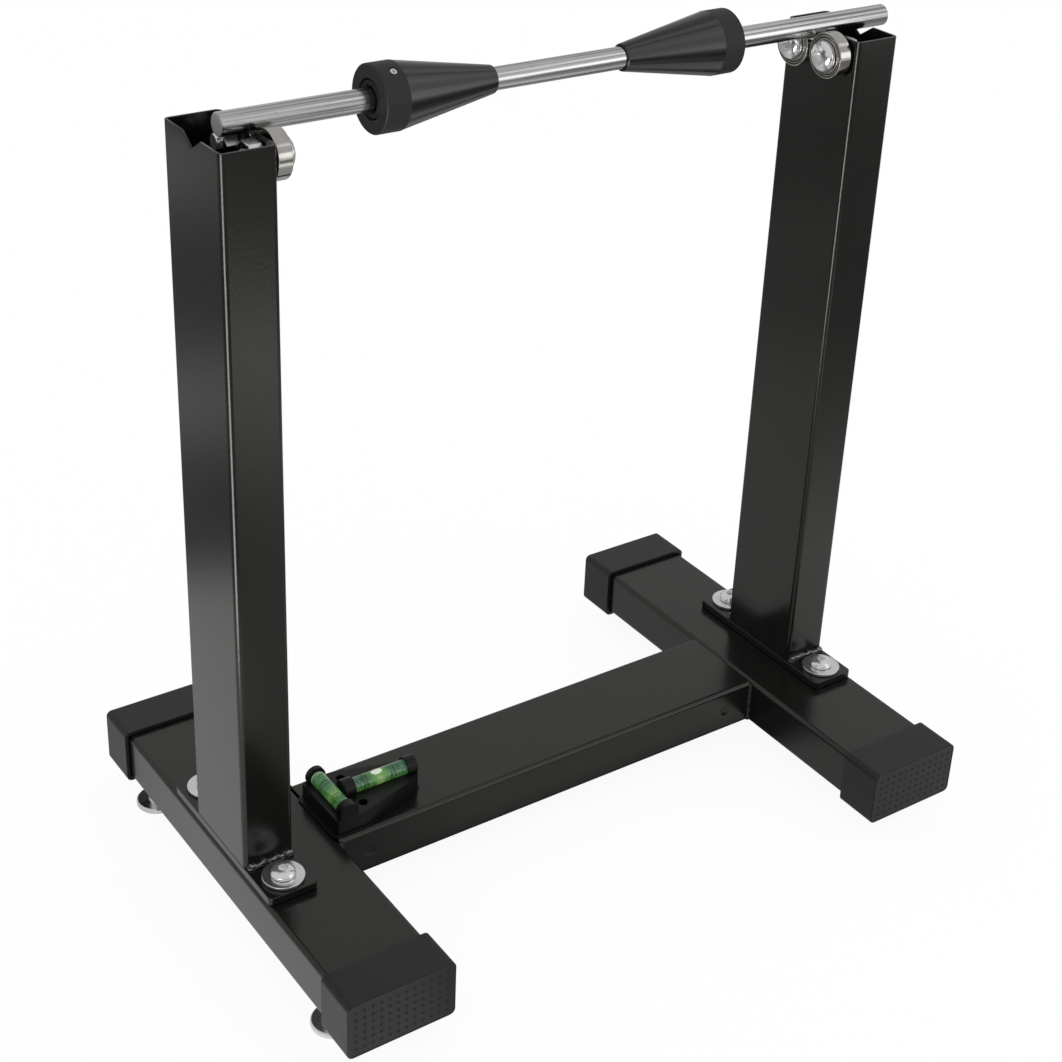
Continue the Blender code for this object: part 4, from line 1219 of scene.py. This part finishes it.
# %% [markdown]
# ## What stays as it is
# The ball cages and the spacers behind the bearings are hardly seen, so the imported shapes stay. They only
# take a finish.

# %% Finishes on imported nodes
for side, end in POSTS:
    for node, finish in ((f"ball_cage_{side}_{end}", shield_steel), (f"bearing_spacer_{side}_{end}", zinc)):
        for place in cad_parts[node].material_slots:
            place.material = finish
print("packed nodes that stay", 8)

# %% [markdown]
# ## Floor
# A plain pale floor. To the camera it glows almost white, and the rest of its light is real, so it keeps a
# soft shadow under the stand. In glossy and clear surfaces it glows by place: the floor carries painted light
# and painted shadow, which the stand's glossy faces mirror. On the left it is bright near the stand, with two
# wide rings beyond and one bright strip to the front. On the right it is dimmer, with soft patches in front
# and beside, and a painted shadow next to the left foot and under the middle tube. Far out it is pale on the
# right, where only the round bars see it. The tubes' flat faces all look down at the floor, so this painted
# light is what gives them their soft changes of tone.

# %% Floor finish
FULL_GLOW, STRIP_GLOW = 8.0, 7.5
SEEN_GLOW, SEEN_COLOUR = 0.93, 0.86


def pale_floor():
    """Places and widths are in metres, and a glow of 1 is white."""
    floor = Finish("pale_floor", Roughness=0.9, Specular_IOR_Level=0.0, Emission_Strength=FULL_GLOW)
    path = floor.node("ShaderNodeLightPath").socket.node
    seen = Value(floor, path.outputs["Is Camera Ray"])
    mirrored = Value(floor, path.outputs["Is Glossy Ray"]) + Value(floor, path.outputs["Is Transmission Ray"])
    x, y, z = floor.axes()

    def mound(distance, centre, width):
        """1 at the centre, and 0 from the width on."""
        return 1 - floor.step(floor.size(distance - centre), 0.0, width)

    def away_from(place_x, place_y):
        return ((x - place_x) ** 2 + (y - place_y) ** 2) ** 0.5

    # Painted light and painted shadow in the glow that glossy faces mirror.
    away = away_from(-0.2, 0.0)
    left = floor.step(x * -1 - y * 0.3, 0.16, 0.23)
    front = floor.step(y * -1, 0.02, 0.10)
    left_glow = 0.16 + (1 - floor.step(away, 0.33, 0.42)) * 0.64 + mound(away, 0.67, 0.16) * 0.38
    left_glow = left_glow + mound(away, 1.27, 0.22) * 0.42
    near = 1 - floor.step(away_from(0.0, 0.0), 0.38, 0.60)
    front_patch = mound(away_from(0.13, -0.72), 0.0, 0.36)
    side_patch = mound(away_from(0.42, -0.20), 0.0, 0.40)
    right_glow = 0.30 + near * 0.20 - front * 0.08 + front_patch * front * 1.35 + side_patch * 0.34
    # A painted shadow next to the left foot.
    right_glow = right_glow * (1 - mound(away_from(-0.145, -0.11), 0.0, 0.13) * 0.7)
    # A painted shadow under the middle tube and just in front of it.
    under = (1 - floor.step(floor.size(y), 0.03, 0.065)) * (1 - floor.step(floor.size(x), 0.17, 0.19))
    right_glow = right_glow * (1 - under * 0.9)
    across = floor.size((x + 0.2) * 0.59 - (y + 0.03) * 0.807)
    along = (x + 0.2) * -0.807 - (y + 0.03) * 0.59
    strip = floor.step(along, 0.26, 0.34) * (1 - floor.step(across - along * 0.20, 0.0, 0.06))
    glow = right_glow + left * (left_glow - right_glow) + strip * STRIP_GLOW
    far = floor.step(away, 1.95, 2.3)
    glow = glow + far * (0.85 - left * 0.80 - glow)
    share = (seen * SEEN_GLOW + mirrored * glow) * (1 / FULL_GLOW)
    cloud = floor.noise(3, 3)
    colour = floor.blend(cloud, (0.80, 0.80, 0.80), (0.84, 0.84, 0.83))
    colour = floor.blend(seen * SEEN_COLOUR + mirrored, colour, (0.0, 0.0, 0.0))
    return floor.wear(colour, glow=floor.blend(share, (0.0, 0.0, 0.0), (1.0, 1.0, 1.0)))


# %% Floor and surroundings
deselect()
bpy.ops.mesh.primitive_plane_add(size=14)
floor = named("floor")
edit(floor)
bpy.ops.mesh.subdivide(number_cuts=3)
done()
floor.data.materials.append(pale_floor())

world = bpy.data.worlds.new("studio")
bpy.context.scene.world = world
world.use_nodes = True
nodes, links = world.node_tree.nodes, world.node_tree.links
path = nodes.new("ShaderNodeLightPath")
strength = nodes.new("ShaderNodeMapRange")
strength.inputs["To Min"].default_value = 0.58
strength.inputs["To Max"].default_value = 1.0
links.new(path.outputs["Is Camera Ray"], strength.inputs["Value"])
links.new(strength.outputs[0], nodes["Background"].inputs["Strength"])
nodes["Background"].inputs["Color"].default_value = (1, 1, 1, 1)
bpy.context.scene.view_settings.view_transform = "Standard"
print("floor and world", floor.name, world.name)

# %% [markdown]
# ## Lamps
# Two soft boxes, both to the right. A bright one low at the front draws the white line on the axle, on the
# rings and along the front edges of the lying tubes. A fainter one overhead adds the paler line above it.
# Each fills only a few degrees, since a round bar mirrors the whole room and a wide lamp would wash out its
# lines.

# %% Lamps
LAMP_AIM = Vector((0, 0, 0.46))


def soft_box(name, place, width, height, power):
    way = LAMP_AIM - Vector(place)
    bpy.ops.object.light_add(type="AREA", location=place, rotation=way.to_track_quat("-Z", "Y").to_euler())
    lamp = bpy.context.object
    lamp.name = name
    lamp.data.shape = "RECTANGLE"
    lamp.data.size, lamp.data.size_y = width, height
    lamp.data.energy = power


soft_box("front_box", (1.15, -1.63, 0.64), 1.2, 0.66, 2.9)
soft_box("overhead_box", (1.13, -1.00, 1.79), 1.1, 0.50, 1.0)
print("lamps", 2)

# %% Finish
print("pieces", len(made_pieces))
